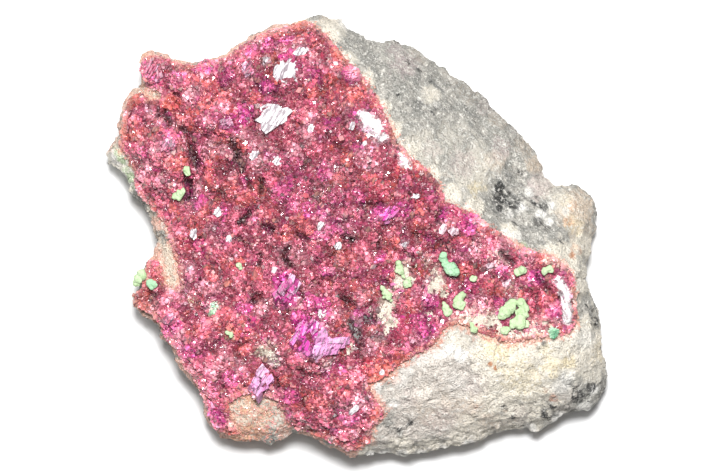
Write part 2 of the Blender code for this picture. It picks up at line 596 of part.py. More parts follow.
def crust_of_crystals(places, triangles):
    """The pink crust: its underside follows the stone, and its top is a field of crystals."""
    mesh = bmesh.new()
    middles = np.array([np.mean([places[i] for i in t], axis=0) for t in triangles])
    over_crust = inside(CRUST_RIM, middles)
    under = [t for t, kept in zip(triangles, over_crust) if kept]
    used = sorted({i for t in under for i in t})
    index = {old: new for new, old in enumerate(used)}
    below = [places[i] for i in used]
    under = [[index[i] for i in t] for t in under]
    lower, _ = sheet(mesh, below, stone_top(below) + GAP, under, upward=False)
    underside = BVHTree.FromPolygons([v.co for v in lower], under)

    dice = random.Random(17)
    seats = seat_points()
    rows = rows_inside(CRUST_RIM, (1.1, 2.8), CRYSTAL_SPACING)
    rows = [*seats, *thinned(rows, CRYSTAL_SPACING * 0.5, taken=seats)]
    inner = thinned(scattered(CRUST_RIM, CRYSTAL_SPACING, 3.6, dice), CRYSTAL_SPACING * 0.5, taken=rows)
    above, faces_above = triangulated(CRUST_RIM, [*rows, *inner])
    inward = np.clip(distance_to(CRUST_RIM, above) / CRUST_TAPER, 0, 1)
    swell = wavering(above, 2.4, 40.0, -0.35, 0.45)
    top = face(above) + GAP + CRUST_EDGE_THICKNESS + inward * (growth(above) + swell)
    least = stone_top(above) + GAP + CRUST_EDGE_THICKNESS
    for i, (x, y) in enumerate(above):
        struck = underside.ray_cast(Vector((x, y, 100)), Vector((0, 0, -1)))[0]
        if struck is not None and inward[i] > 0:
            least[i] = max(least[i], struck.z + CRUST_EDGE_THICKNESS)
    seated = np.maximum(seat_level(above), least - 0.3)
    top = np.where(inward > 0, np.minimum(np.maximum(top, least), seated), np.maximum(top, least))
    raise_over(above, top, faces_above, [v.co for v in lower])
    upper, crystal_faces = sheet(mesh, above, top, faces_above)

    lower_at = {(round(v.co.x, 4), round(v.co.y, 4)): v for v in lower}
    upper_at = {(round(v.co.x, 4), round(v.co.y, 4)): v for v in upper}
    ring = [(round(x, 4), round(y, 4)) for x, y in np.array(CRUST_RIM, np.float32).astype(float)]
    for a, b in zip(ring, ring[1:] + ring[:1]):
        mesh.faces.new([lower_at[a], lower_at[b], upper_at[b], upper_at[a]])
    crystal_apexes(mesh, [f for f in crystal_faces if bears_crystal(f)])
    bmesh.ops.triangulate(mesh, faces=mesh.faces)
    pink = material("cobaltoan_calcite", (0.46, 0.10, 0.18), 0.35)
    return finish(mesh, "cobaltoan_calcite_crust", pink)


def large_crystals():
    """The large cleavage crystals and the white rib, as one helper to join to the crust."""
    mesh = bmesh.new()
    for u, v, length, width, turn, tilt in LARGE_CRYSTALS:
        x, y = plan(u, v)
        block = bmesh.ops.create_cube(mesh, size=2.0)["verts"]
        lean = Matrix(((1, 0.28, 0.35), (0, 1, 0.25), (0, 0, 1)))
        size = Matrix.Diagonal((length * STEP, width * STEP, LARGE_CRYSTAL_DEPTH * STEP / 2))
        pose = Matrix.Rotation(math.radians(turn), 3, "Z") @ Matrix.Rotation(math.radians(tilt), 3, "X")
        bmesh.ops.transform(mesh, matrix=(pose @ lean @ size).to_4x4(), verts=block)
        rise = 0.9 - LARGE_CRYSTAL_DEPTH * STEP / 2
        bmesh.ops.translate(mesh, vec=(x, y, top_at(u, v) + rise), verts=block)
    for (au, av), (bu, bv) in zip(WHITE_RIB, WHITE_RIB[1:]):
        start, end = (Vector((*plan(u, v), top_at(u, v) + 0.35)) for u, v in ((au, av), (bu, bv)))
        along = end - start
        pose = Matrix.Translation((start + end) / 2) @ along.to_track_quat("Z", "Y").to_matrix().to_4x4()
        bmesh.ops.create_cone(
            mesh, cap_ends=True, segments=7, radius1=WHITE_RIB_RADIUS * 1.15, radius2=WHITE_RIB_RADIUS,
            depth=along.length * 1.25, matrix=pose,
        )
    white = material("large_crystal", (0.6, 0.2, 0.4), 0.3)
    return finish(mesh, "large_crystals", white)


def fused(obj, voxel, faces):
    """Makes one rounded body of the balls that an object holds."""
    obj.modifiers.new("Fuse", "REMESH").voxel_size = voxel * MM
    applied(obj)
    obj.modifiers.new("Thin", "DECIMATE").ratio = min(1.0, faces / (2 * len(obj.data.polygons)))
    applied(obj)


def settled(mesh, ground):
    """Lifts a mesh in steps until it clears the crust and the stone by the gap."""
    trees = [BVHTree.FromObject(obj, bpy.context.evaluated_depsgraph_get()) for obj in ground]
    for _ in range(60):
        places = [v.co * MM for v in mesh.verts]
        if min(tree.find_nearest(p)[3] for tree in trees for p in places) > 0.95 * GAP * MM:
            above = all(tree.ray_cast(p, Vector((0, 0, 1)))[0] is None for tree in trees for p in places)
            if above:
                return
        bmesh.ops.translate(mesh, vec=(0, 0, 0.06), verts=mesh.verts)


def ball_cluster(name, balls, ground):
    """One cluster of kolwezite balls, a little flatter than round."""
    mesh = bmesh.new()
    for ball in balls:
        place = Matrix.Translation(seat_middle(*ball)) @ Matrix.Diagonal((1, 1, BALL_FLATNESS, 1))
        bmesh.ops.create_icosphere(mesh, subdivisions=3, radius=ball[2] * STEP, matrix=place)
    settled(mesh, ground)
    green = material("kolwezite", (0.58, 0.80, 0.50), 0.55)
    fused(finish(mesh, name, green), 0.22, len(balls) * BALL_FACES)


def malachite_tuft(ground):
    """The tuft of malachite: a low dome of short radiating spikes."""
    mesh = bmesh.new()
    middle = seat_middle(*MALACHITE)
    place = Matrix.Translation(middle) @ Matrix.Diagonal((1, 1, BALL_FLATNESS, 1))
    tuft = bmesh.ops.create_icosphere(mesh, subdivisions=2, radius=MALACHITE[2] * STEP, matrix=place)
    for index, vert in enumerate(tuft["verts"]):
        pull = 0.74 if index % 3 else 1.0
        vert.co = middle + (vert.co - middle) * pull
    settled(mesh, ground)
    green = material("malachite", (0.12, 0.45, 0.27), 0.5)
    finish(mesh, "malachite_tuft", green)


def kolwezite_specimen():
    for obj in list(bpy.data.objects):
        bpy.data.objects.remove(obj)
    places, triangles = plan_of_stone()
    stone = matrix_stone(places, triangles)
    crust = crust_of_crystals(places, triangles)
    joined(crust, large_crystals())
    for name, balls in KOLWEZITE.items():
        ball_cluster(name, balls, (stone, crust))
    malachite_tuft((stone, crust))


kolwezite_specimen()
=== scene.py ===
import math

import bmesh
import bpy
import numpy as np
from mathutils import Matrix, Vector, noise
from mathutils.bvhtree import BVHTree


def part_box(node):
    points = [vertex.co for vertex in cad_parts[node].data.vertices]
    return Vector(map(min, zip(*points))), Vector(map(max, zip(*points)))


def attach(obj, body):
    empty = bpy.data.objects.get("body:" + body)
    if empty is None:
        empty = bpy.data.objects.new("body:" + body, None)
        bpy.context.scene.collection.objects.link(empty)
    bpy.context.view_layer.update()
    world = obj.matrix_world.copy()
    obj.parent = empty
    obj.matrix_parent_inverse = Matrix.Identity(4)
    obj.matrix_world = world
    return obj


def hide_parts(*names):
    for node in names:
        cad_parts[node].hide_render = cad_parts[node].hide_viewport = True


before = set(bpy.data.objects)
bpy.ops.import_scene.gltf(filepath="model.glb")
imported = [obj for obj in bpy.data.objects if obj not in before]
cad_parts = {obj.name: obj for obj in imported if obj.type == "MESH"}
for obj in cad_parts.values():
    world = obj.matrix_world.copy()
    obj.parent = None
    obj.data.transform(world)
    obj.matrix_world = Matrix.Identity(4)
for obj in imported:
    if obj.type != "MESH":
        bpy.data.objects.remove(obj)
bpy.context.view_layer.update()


# The stone: a broken slab of grey to cream dolomite. It is the imported stone with its facets cut
# finer and roughened, and it is stained cream, yellow, rust and black where other minerals came.
# Its salmon fringe by the crust, its salmon stains and its lower rim are lightened in part with painted light.
STEP = 0.090 / 504
PLAN_MIDDLE = (357.0, 236.75)
MM = 0.001
STONE_FINE = 0.44 * MM
STONE_COARSE = 1.5 * MM
# Lumps and facets of the broken stone, as (size, height) in mm
STONE_LUMPS = [(4.6, 0.34), (0.8, 0.12)]
STONE_FACETS = [(2.6, 0.34), (1.15, 0.20)]
FRINGE = 2.2 * MM
WELD = 0.002 * MM
PATCH_EDGE = 1.35
PATCH_FADE = 0.7

# Stains of the stone by kind, as (u, v, radius in steps, strength)
STONE_STAINS = {
    "cream": [
        (333, 30, 13, 0.7), (348, 60, 9, 0.7), (366, 82, 8, 0.8), (383, 108, 8, 0.8), (395, 130, 8, 0.8),
        (411, 152, 9, 0.8), (431, 174, 10, 0.8), (452, 194, 11, 0.8), (474, 208, 10, 0.8), (508, 230, 9, 0.7),
        (432, 95, 9, 0.6), (420, 150, 22, 0.4), (470, 172, 24, 0.45), (545, 185, 14, 0.6), (560, 200, 12, 0.6),
        (560, 262, 22, 0.9), (580, 280, 16, 0.8), (580, 345, 34, 0.8), (540, 345, 26, 0.9), (500, 350, 28, 1.0),
        # The cream marks along the lower rim, from (400, 454) to (510, 433) and (365, 452), are partly the rim's real
        # cream and partly painted light for a rim that faces away from the lamps.
        (520, 385, 40, 0.9), (470, 440, 26, 0.6), (400, 454, 16, 0.9), (430, 452, 14, 0.9), (458, 447, 14, 0.9),
        (485, 440, 12, 0.8), (530, 425, 16, 0.6), (365, 452, 9, 0.8), (510, 433, 12, 0.8), (280, 426, 12, 0.6),
        (285, 408, 12, 0.6), (262, 400, 10, 0.4), (300, 24, 12, 0.6), (140, 60, 12, 0.6), (115, 155, 20, 0.6),
        (460, 340, 16, 0.5), (590, 365, 20, 0.6), (120, 160, 14, 0.9), (130, 182, 10, 0.9), (146, 215, 9, 0.8),
        (585, 245, 14, 0.7), (480, 150, 12, 0.35), (505, 330, 14, 0.8), (450, 140, 20, 0.3), (150, 215, 12, 0.6),
        (168, 225, 7, 0.9), (530, 395, 22, 0.9), (560, 330, 16, 0.7),
    ],
    "beige": [
        (330, 22, 12, 0.5), (420, 50, 14, 0.3), (470, 90, 16, 0.25), (500, 118, 14, 0.3), (525, 145, 14, 0.35),
        (575, 208, 20, 0.7), (582, 235, 16, 0.5), (495, 160, 14, 0.4), (435, 405, 26, 0.4), (480, 415, 26, 0.5),
        (250, 405, 28, 0.9), (170, 262, 24, 0.9), (150, 97, 14, 0.9), (125, 180, 14, 0.7), (140, 225, 20, 0.6),
        (550, 360, 12, 0.4), (535, 165, 10, 0.6), (572, 362, 12, 0.5), (460, 400, 12, 0.4), (510, 425, 12, 0.4),
        (455, 70, 14, 0.3), (600, 345, 12, 0.7), (135, 95, 12, 0.6),
    ],
    "yellow": [
        (497, 345, 18, 0.6), (520, 375, 22, 0.4), (553, 368, 13, 0.5), (545, 352, 10, 0.4), (567, 362, 8, 0.6),
        (475, 188, 8, 0.5), (575, 225, 12, 0.4), (500, 335, 12, 0.4), (605, 350, 14, 0.4), (568, 200, 8, 0.3),
    ],
    "white": [
        (449, 349, 7, 0.6), (459, 354, 7, 0.8), (436, 352, 6, 0.4), (393, 402, 6, 0.5), (585, 338, 12, 0.4),
        (376, 386, 7, 0.6), (420, 358, 10, 0.35), (400, 380, 10, 0.35), (430, 395, 14, 0.3), (455, 385, 14, 0.3),
        (345, 22, 8, 0.5), (437, 105, 4, 0.4), (560, 385, 10, 0.5), (407, 370, 9, 0.35), (540, 214, 6, 0.7),
        (505, 235, 6, 0.6), (168, 225, 5, 0.8), (520, 208, 5, 0.7), (528, 192, 5, 0.6), (548, 222, 5, 0.6),
        # The white marks along the lower rim, from (385, 456) to (585, 408) and (370, 456), are partly the rim's real
        # pale colour and partly painted light for a rim that faces away from the lamps.
        (509, 215, 4, 0.6), (594, 390, 5, 0.8), (565, 375, 9, 0.5), (425, 94, 5, 0.2), (385, 456, 8, 0.7),
        (402, 458, 8, 0.7), (422, 457, 8, 0.7), (445, 454, 8, 0.7), (470, 447, 8, 0.7), (500, 440, 8, 0.6),
        (530, 430, 8, 0.6), (560, 419, 8, 0.6), (585, 408, 8, 0.6), (370, 456, 6, 0.8), (551, 205, 5, 0.6),
        (565, 212, 4, 0.5), (515, 235, 5, 0.5), (118, 158, 10, 0.6), (128, 178, 9, 0.6),
    ],
    "smoky": [
        (405, 75, 20, 0.3), (430, 60, 16, 0.25), (440, 120, 26, 0.3), (468, 112, 7, 0.6), (475, 128, 7, 0.5),
        (412, 108, 9, 0.7), (435, 112, 6, 0.7), (440, 85, 12, 0.5), (455, 55, 12, 0.3), (505, 200, 22, 0.8),
        (530, 215, 24, 0.3), (552, 235, 14, 0.25), (485, 195, 9, 0.5), (575, 395, 18, 0.35), (595, 385, 12, 0.35),
        (548, 408, 13, 0.6), (408, 418, 12, 0.2), (470, 365, 12, 0.2), (455, 330, 10, 0.5), (588, 310, 8, 0.6),
        (596, 325, 7, 0.6), (538, 340, 6, 0.6), (395, 425, 12, 0.3), (500, 152, 8, 0.4), (360, 35, 12, 0.3),
    ],
    "dark": [
        (499, 188, 6, 0.9), (500, 198, 7, 1.0), (499, 208, 4, 0.8), (507, 195, 4, 0.9), (519, 174, 6, 0.5),
        (514, 203, 6, 0.6), (535, 201, 5, 0.6), (543, 207, 5, 0.6), (512, 225, 5, 0.45), (537, 222, 6, 0.7),
        (547, 229, 5, 0.6), (557, 240, 5, 0.6), (486, 200, 4, 0.4), (578, 396, 8, 0.7), (590, 387, 6, 0.7),
        (548, 412, 8, 0.6), (585, 306, 4, 0.7), (587, 313, 4, 0.6), (595, 322, 6, 0.7), (504, 408, 5, 0.6),
        (520, 403, 3, 0.6), (513, 417, 3, 0.8), (434, 112, 4, 0.6), (467, 108, 4, 0.4), (472, 121, 4, 0.45),
        (412, 88, 5, 0.4), (425, 122, 5, 0.3), (398, 96, 2, 0.8), (410, 422, 4, 0.7), (388, 424, 4, 0.6),
        (430, 83, 2, 0.7), (512, 358, 3, 0.5), (398, 430, 3, 0.5), (538, 345, 4, 0.5), (606, 330, 4, 0.4),
        (266, 405, 4, 0.6), (274, 413, 4, 0.5), (262, 396, 3, 0.5), (449, 88, 2, 0.6), (443, 52, 3, 0.4),
        (420, 70, 4, 0.4), (408, 62, 3, 0.4), (470, 365, 5, 0.3),
    ],
    "rust": [
        (489, 363, 2.6, 1.0), (494, 367, 1.8, 0.9), (571, 255, 4, 0.7), (551, 398, 5, 0.4), (303, 24, 6, 0.9),
        (545, 388, 5, 0.3), (475, 406, 3, 0.5), (235, 425, 10, 0.4), (246, 398, 6, 0.3), (143, 57, 5, 0.4),
        (505, 410, 3, 0.4), (150, 100, 5, 0.3),
    ],
    "pale": [
        (430, 375, 30, 0.7), (470, 372, 32, 0.7), (420, 415, 30, 0.7), (460, 415, 34, 0.7), (510, 425, 20, 0.6),
        (400, 395, 22, 0.6), (385, 440, 18, 0.6), (445, 345, 14, 0.6), (560, 400, 16, 0.5), (500, 400, 16, 0.5),
        (250, 410, 22, 0.8), (280, 420, 16, 0.8),
    ],
    "orange": [
        (252, 433, 11, 0.7), (250, 398, 7, 0.7), (246, 410, 7, 0.6), (262, 430, 7, 0.6), (238, 436, 8, 0.7),
        (262, 412, 7, 0.5), (573, 205, 6, 0.4), (568, 222, 6, 0.4), (575, 250, 7, 0.4), (142, 57, 6, 0.5),
        (300, 25, 6, 0.6), (552, 260, 7, 0.4),
    ],
    "green": [
        (118, 153, 5, 0.8), (129, 150, 4, 0.8), (122, 160, 5, 0.9), (133, 163, 5, 0.9), (126, 170, 4, 0.7),
        (131, 178, 6, 0.9), (115, 147, 3, 0.6), (134, 187, 3, 0.7), (137, 276, 6, 0.8), (523, 246, 5, 0.6),
        (474, 330, 6, 0.6), (527, 331, 5, 0.6), (497, 328, 5, 0.4), (541, 336, 4, 0.4), (142, 192, 3, 0.5),
        (163, 271, 5, 0.3),
    ],
    "salmon": [
        (135, 75, 14, 0.8), (127, 100, 12, 0.8), (118, 128, 10, 0.7), (158, 222, 8, 0.7), (152, 252, 10, 0.8),
        (135, 302, 12, 0.9), (150, 322, 12, 0.9), (168, 345, 12, 0.9), (183, 370, 12, 0.9), (197, 397, 12, 0.9),
        (206, 420, 14, 0.9), (225, 440, 14, 0.8), (285, 432, 8, 0.6), (310, 440, 14, 0.9), (345, 450, 14, 0.8),
        (240, 55, 12, 0.8), (210, 58, 12, 0.8), (180, 60, 12, 0.8), (270, 38, 12, 0.8), (295, 27, 8, 0.7),
        (110, 145, 8, 0.5), (375, 100, 5, 0.6), (388, 130, 5, 0.6), (397, 148, 4, 0.5), (425, 172, 5, 0.6),
        (447, 205, 5, 0.5), (500, 240, 5, 0.4), (505, 341, 8, 0.5), (530, 336, 7, 0.5), (393, 378, 7, 0.4),
        (377, 415, 8, 0.5), (435, 350, 5, 0.4), (553, 398, 5, 0.5), (570, 300, 6, 0.4), (372, 440, 6, 0.4),
        (165, 51, 10, 0.9), (190, 57, 9, 0.9), (225, 59, 9, 0.9), (255, 43, 9, 0.9), (282, 29, 10, 0.8),
        (148, 52, 8, 0.9), (122, 110, 8, 0.7), (190, 385, 8, 0.9), (240, 447, 9, 0.9),
    ],
    "mauve": [
        (405, 65, 14, 0.6), (462, 165, 16, 0.5), (540, 185, 14, 0.6), (395, 50, 10, 0.5), (520, 120, 12, 0.5),
        (485, 105, 10, 0.4), (430, 150, 12, 0.4), (500, 150, 12, 0.5), (470, 330, 10, 0.4), (440, 420, 16, 0.5),
        (475, 385, 14, 0.4), (410, 395, 12, 0.4), (520, 415, 12, 0.4),
    ],
}
# The deep gaps between the crust's lumps, as (radius in steps, depth in mm, line of places)
GAPS = [
    (6, 2.3, [(191, 146), (196, 165)]), (8, 3.0, [(189, 180), (188, 197)]), (4.5, 2.0, [(166, 112), (170, 125)]),
    (4, 1.2, [(180, 103), (184, 115)]), (4.5, 1.8, [(184, 130), (190, 139)]), (4, 1.2, [(206, 137), (214, 132)]),
    (5.5, 2.4, [(231, 143), (237, 150), (240, 161), (243, 171)]), (4.5, 2.0, [(247, 179), (252, 190)]),
    (5, 2.2, [(262, 181), (262, 193)]), (5, 2.4, [(241, 223), (250, 214)]), (5, 1.8, [(265, 226), (272, 231)]),
    (4.5, 2.2, [(289, 247), (284, 256), (291, 266)]), (4, 1.5, [(262, 255), (260, 265)]),
    (4, 1.3, [(241, 238), (247, 248)]), (4.5, 1.5, [(300, 235), (308, 240)]), (5, 2.0, [(344, 238), (354, 240)]),
    (4.5, 1.7, [(253, 301), (261, 295)]), (4.5, 2.0, [(151, 293), (154, 296)]), (4, 1.2, [(318, 74), (321, 92)]),
    (4, 1.2, [(254, 80), (262, 92)]), (4, 1.3, [(299, 286), (303, 297)]), (4.5, 1.5, [(350, 322), (360, 344)]),
    (5, 1.6, [(344, 299), (352, 307)]), (4, 1.2, [(329, 279), (332, 284)]), (4, 1.1, [(314, 281), (320, 285)]),
    (4.5, 1.7, [(384, 280), (389, 288)]), (4, 1.3, [(404, 251), (413, 258)]), (4, 1.5, [(441, 213), (437, 222)]),
    (4, 1.5, [(440, 240), (434, 252)]), (4.5, 1.6, [(500, 253), (511, 262), (514, 272)]),
    (5, 1.8, [(537, 275), (546, 291)]), (4, 1.3, [(493, 290), (495, 301)]), (4, 1.3, [(470, 291), (467, 306)]),
    (4.5, 1.2, [(536, 298), (538, 312)]), (4, 1.1, [(362, 206), (382, 204)]), (4, 1.2, [(416, 234), (428, 239)]),
    (4, 1.3, [(300, 369), (312, 374), (326, 373)]), (4.5, 1.2, [(307, 394), (300, 408)]),
    (4, 1.6, [(273, 371), (278, 387)]), (4, 1.0, [(215, 263), (223, 277)]), (4, 1.2, [(187, 320), (193, 327)]),
    (4, 1.2, [(365, 316), (372, 323)]), (3.5, 1.0, [(253, 117), (258, 123)]), (4, 1.0, [(240, 345), (250, 342)]),
    (4, 1.2, [(280, 97), (272, 94)]), (4, 1.0, [(205, 345), (214, 352)]), (4, 1.2, [(312, 160), (304, 168)]),
    (4, 1.0, [(335, 255), (318, 262)]), (4, 1.0, [(185, 92), (176, 96)]), (4, 1.1, [(395, 312), (400, 304)]),
]


# Where balls of other minerals sit on the crust, by their node, as lobes (u, v, radius in steps)
BALLS = {
    "kolwezite_upper_pair": [
        (442, 255, 3.8), (442, 259, 4.2), (444, 264, 4.4), (447, 267, 4.4), (451, 269, 6.8), (454, 271, 5.2),
    ],
    "kolwezite_main_cluster": [
        (501, 315, 4.6), (504, 311, 6.2), (508, 307, 6.4), (511, 303, 5.0), (520, 303, 5.4), (523, 308, 5.2),
        (522, 314, 5.2), (518, 312, 4.4), (518, 322, 7.4), (513, 323, 5.6), (524, 323, 4.4), (519, 318, 5.0),
    ],
    "kolwezite_cluster_grain": [(503, 330, 4.2), (506, 328, 2.6)],
    "kolwezite_middle_ball": [(459, 304, 5.6), (458, 299, 5.0), (461, 295, 4.0), (456, 303, 4.2)],
    "kolwezite_lower_ball": [(447, 311, 4.6), (445, 307, 4.0), (443, 303, 2.4)],
    "kolwezite_right_ball": [(517, 272, 3.8), (521, 270, 4.4)],
    "kolwezite_far_right_ball": [(543, 271, 4.0), (547, 269, 4.2), (550, 270, 2.4)],
    "kolwezite_inner_ball": [(407, 283, 4.4), (408, 279, 2.8)],
    "kolwezite_inner_string": [(398, 263, 2.8), (399, 267, 3.4), (401, 271, 3.2), (397, 270, 2.4), (403, 276, 2.2)],
    "kolwezite_inner_patch": [(382, 288, 2.8), (385, 292, 3.8), (388, 296, 4.0), (390, 299, 2.4), (384, 296, 2.6)],
    "kolwezite_small_ball": [(472, 278, 3.2), (474, 277, 2.2)],
    "kolwezite_edge_ball": [(142, 273, 4.4), (139, 278, 5.2), (137, 283, 4.0), (144, 277, 3.6)],
    "kolwezite_edge_disc": [(151, 283, 4.4), (155, 284, 3.8), (152, 287, 2.6)],
    "kolwezite_hollow_ball": [(188, 171, 4.0), (189, 174, 2.8)],
    "kolwezite_hollow_patch": [(177, 196, 4.2), (181, 194, 4.4), (184, 191, 2.6), (180, 198, 2.8)],
    "kolwezite_lone_grain": [(240, 265, 2.8), (241, 268, 2.0)],
    "kolwezite_low_grain": [(229, 332, 2.6), (232, 334, 2.8)],
    "kolwezite_lower_patch": [(473, 328, 3.6), (471, 324, 2.8)],
    "malachite_tuft": [(552, 331, 6.5), (554, 336, 4.5)],
}


def at(u, v):
    """A place of the plan, in metres from the specimen's middle."""
    return (u - PLAN_MIDDLE[0]) * STEP, (PLAN_MIDDLE[1] - v) * STEP


def merged_copy(node):
    """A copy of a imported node's mesh whose triangles are joined up."""
    mesh = bmesh.new()
    mesh.from_mesh(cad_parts[node].data)
    bmesh.ops.remove_doubles(mesh, verts=mesh.verts, dist=WELD)
    return mesh


def tree_of(node):
    mesh = merged_copy(node)
    tree = BVHTree.FromBMesh(mesh)
    mesh.free()
    return tree


def dropped(tree, x, y):
    """Where a line dropped from above meets a mesh, or None."""
    return tree.ray_cast(Vector((x, y, 1)), Vector((0, 0, -1)))[0]


def cut_finer(mesh, longest, passes):
    """Halves every edge that is longer than longest(edge), several times over."""
    for _ in range(passes):
        edges = [e for e in mesh.edges if e.calc_length() > longest(e)]
        bmesh.ops.subdivide_edges(mesh, edges=edges, cuts=1)
        bmesh.ops.triangulate(mesh, faces=[f for f in mesh.faces if len(f.verts) > 3])


def rough(point, wavelength, seed):
    """Smooth noise from -1 to 1 at a point, for a wavelength in millimetres."""
    return noise.noise(point / (wavelength * MM) + Vector((seed, -seed, 2 * seed)))


def facet(point, size, seed):
    """The height of a broken surface of small facets, each with its own level and tilt, from -1 to 1."""
    _, middles = noise.voronoi(point / (size * MM) + Vector((seed, seed, -seed)))
    lot = noise.cell_vector(middles[0] * 7.3) - Vector((0.5, 0.5, 0.5))
    lean = noise.cell_vector(middles[0] * 3.9 + Vector((5, 0, 0))) - Vector((0.5, 0.5, 0.5))
    return lot.x * 1.1 + (point / (size * MM) + Vector((seed, seed, -seed)) - middles[0]).dot(lean) * 1.6


def finished(mesh, name, smooth):
    """Makes an object of a mesh, with its place in the mesh."""
    data = bpy.data.meshes.new(name)
    mesh.to_mesh(data)
    mesh.free()
    data.shade_smooth() if smooth else data.shade_flat()
    made = bpy.data.objects.new(name, data)
    bpy.context.scene.collection.objects.link(made)
    return made


def points_of(data):
    points = np.empty(len(data.vertices) * 3)
    data.vertices.foreach_get("co", points)
    return points.reshape(-1, 3)


def clear_of_balls(points, room):
    """How clear each point is of the balls on the crust: 0 beside one, and 1 from some room away."""
    clear = np.ones(len(points))
    for lobes in BALLS.values():
        for u, v, radius in lobes:
            away = np.hypot(*(points[:, :2] - at(u, v)).T) - 0.85 * radius * STEP
            clear = np.minimum(clear, np.clip(away / room, 0, 1))
    return clear


def gap_depth(points):
    """How far each point sinks where the crust has its deep gaps."""
    depth = np.zeros(len(points))
    for radius, deepest, line in GAPS:
        line = np.array([at(*place) for place in line])
        for a, b in zip(line[:-1], line[1:]):
            along = np.clip((points[:, :2] - a) @ (b - a) / ((b - a) @ (b - a)), 0, 1)
            away = np.linalg.norm(points[:, :2] - a - along[:, None] * (b - a), axis=1) / (radius * STEP)
            depth = np.maximum(depth, 1.5 * deepest * MM * np.clip(1.2 - away, 0, 1) ** 0.8)
    depth *= np.clip((points[:, 2] - 5 * MM) / (4 * MM), 0, 1)
    return depth * clear_of_balls(points, 0.9 * MM)


def patches(points, marks, wobble):
    """How strongly each point lies in any of the marked round patches, whose rims are uneven."""
    total = np.zeros(len(points))
    for u, v, radius, strength in marks:
        away = np.hypot(*(points[:, :2] - at(u, v)).T) / (radius * STEP)
        away = away * (1 + 0.45 * wobble)
        total = np.maximum(total, strength * np.clip((PATCH_EDGE - away) / PATCH_FADE, 0, 1))
    return total


def store(data, name, values):
    values = np.asarray(values, np.float32)
    if values.ndim == 1:
        data.attributes.new(name, "FLOAT", "POINT").data.foreach_set("value", values)
    else:
        data.attributes.new(name, "FLOAT_COLOR", "POINT").data.foreach_set("color", values.ravel())


def placed(tree, kind, settings=None, **inputs):
    """Adds a shader node, with its inputs set to a value or linked to a socket."""
    made = tree.nodes.new("ShaderNode" + kind)
    for key, value in (settings or {}).items():
        setattr(made, key, value)
    for key, value in inputs.items():
        socket = made.inputs[int(key[1:]) if key[0] == "i" and key[1:].isdigit() else key.replace("_", " ")]
        if isinstance(value, bpy.types.NodeSocket):
            tree.links.new(value, socket)
        else:
            socket.default_value = value
    return made


def blended(tree, mask, below, above, mode="MIX"):
    """One colour over another, where the mask is 1."""
    made = placed(tree, "Mix", {"data_type": "RGBA", "blend_type": mode}, i0=mask, i6=below, i7=above)
    return made.outputs[2]


def ramp(tree, value, low, high, to_low=0.0, to_high=1.0):
    """Maps a value from one range to another, and stops at the ends."""
    made = placed(
        tree, "MapRange", Value=value, From_Min=low, From_Max=high, To_Min=to_low, To_Max=to_high
    )
    return made.outputs[0]


def mineral_grain():
    """The grain that the minerals share: grains of two sizes, and specks that are few and small."""
    group = bpy.data.node_groups.new("mineral_grain", "ShaderNodeTree")
    size = group.interface.new_socket("Scale", in_out="INPUT", socket_type="NodeSocketFloat")
    size.default_value = 1000.0
    for name in ("Grain", "Clumps", "Specks"):
        group.interface.new_socket(name, in_out="OUTPUT", socket_type="NodeSocketFloat")
    outside = group.nodes.new("NodeGroupInput").outputs["Scale"]
    result = group.nodes.new("NodeGroupOutput")
    place = placed(group, "TexCoord").outputs["Object"]
    grain = placed(group, "TexNoise", Vector=place, Scale=outside, Detail=4.0, Roughness=0.65)
    third = placed(group, "Math", {"operation": "MULTIPLY"}, i0=outside, i1=0.3)
    clumps = placed(group, "TexNoise", Vector=place, Scale=third.outputs[0], Detail=5.0, Roughness=0.6)
    cells = placed(group, "TexVoronoi", Vector=place, Scale=outside, Randomness=1.0)
    specks = placed(group, "MapRange", Value=cells.outputs["Distance"], From_Min=0.22, From_Max=0.1)
    group.links.new(ramp(group, grain.outputs["Fac"], 0.3, 0.7), result.inputs["Grain"])
    group.links.new(ramp(group, clumps.outputs["Fac"], 0.32, 0.68), result.inputs["Clumps"])
    group.links.new(specks.outputs[0], result.inputs["Specks"])
    return group


MINERAL_GRAIN = mineral_grain()


def new_material(name, roughness, **sockets):
    """A material and its shader, with what is the same all over set on the shader itself."""
    made = bpy.data.materials.new(name)
    made.use_nodes = True
    shader = made.node_tree.nodes["Principled BSDF"]
    shader.inputs["Roughness"].default_value = roughness
    for key, value in sockets.items():
        shader.inputs[key.replace("_", " ")].default_value = value
    return made, made.node_tree, shader


def grain_of(tree, scale):
    made = tree.nodes.new("ShaderNodeGroup")
    made.node_tree = MINERAL_GRAIN
    made.inputs["Scale"].default_value = scale
    return made


def relief(tree, shader, height, depth, distance):
    """Fine relief on a surface, from a height."""
    bump = placed(tree, "Bump", Strength=depth, Distance=distance, Height=height)
    tree.links.new(bump.outputs[0], shader.inputs["Normal"])


crust_tree = tree_of("cobaltoan_calcite_crust")


def under_crust(point):
    return crust_tree.ray_cast(point, Vector((0, 0, 1)))[0] is not None


def stone_edge_limit(edge):
    middle = (edge.verts[0].co + edge.verts[1].co) / 2
    if middle.z < 0.3 * MM or under_crust(middle):
        return STONE_COARSE * 2
    return STONE_FINE if edge.link_faces[0].normal.z > 0 else STONE_COARSE * 0.6


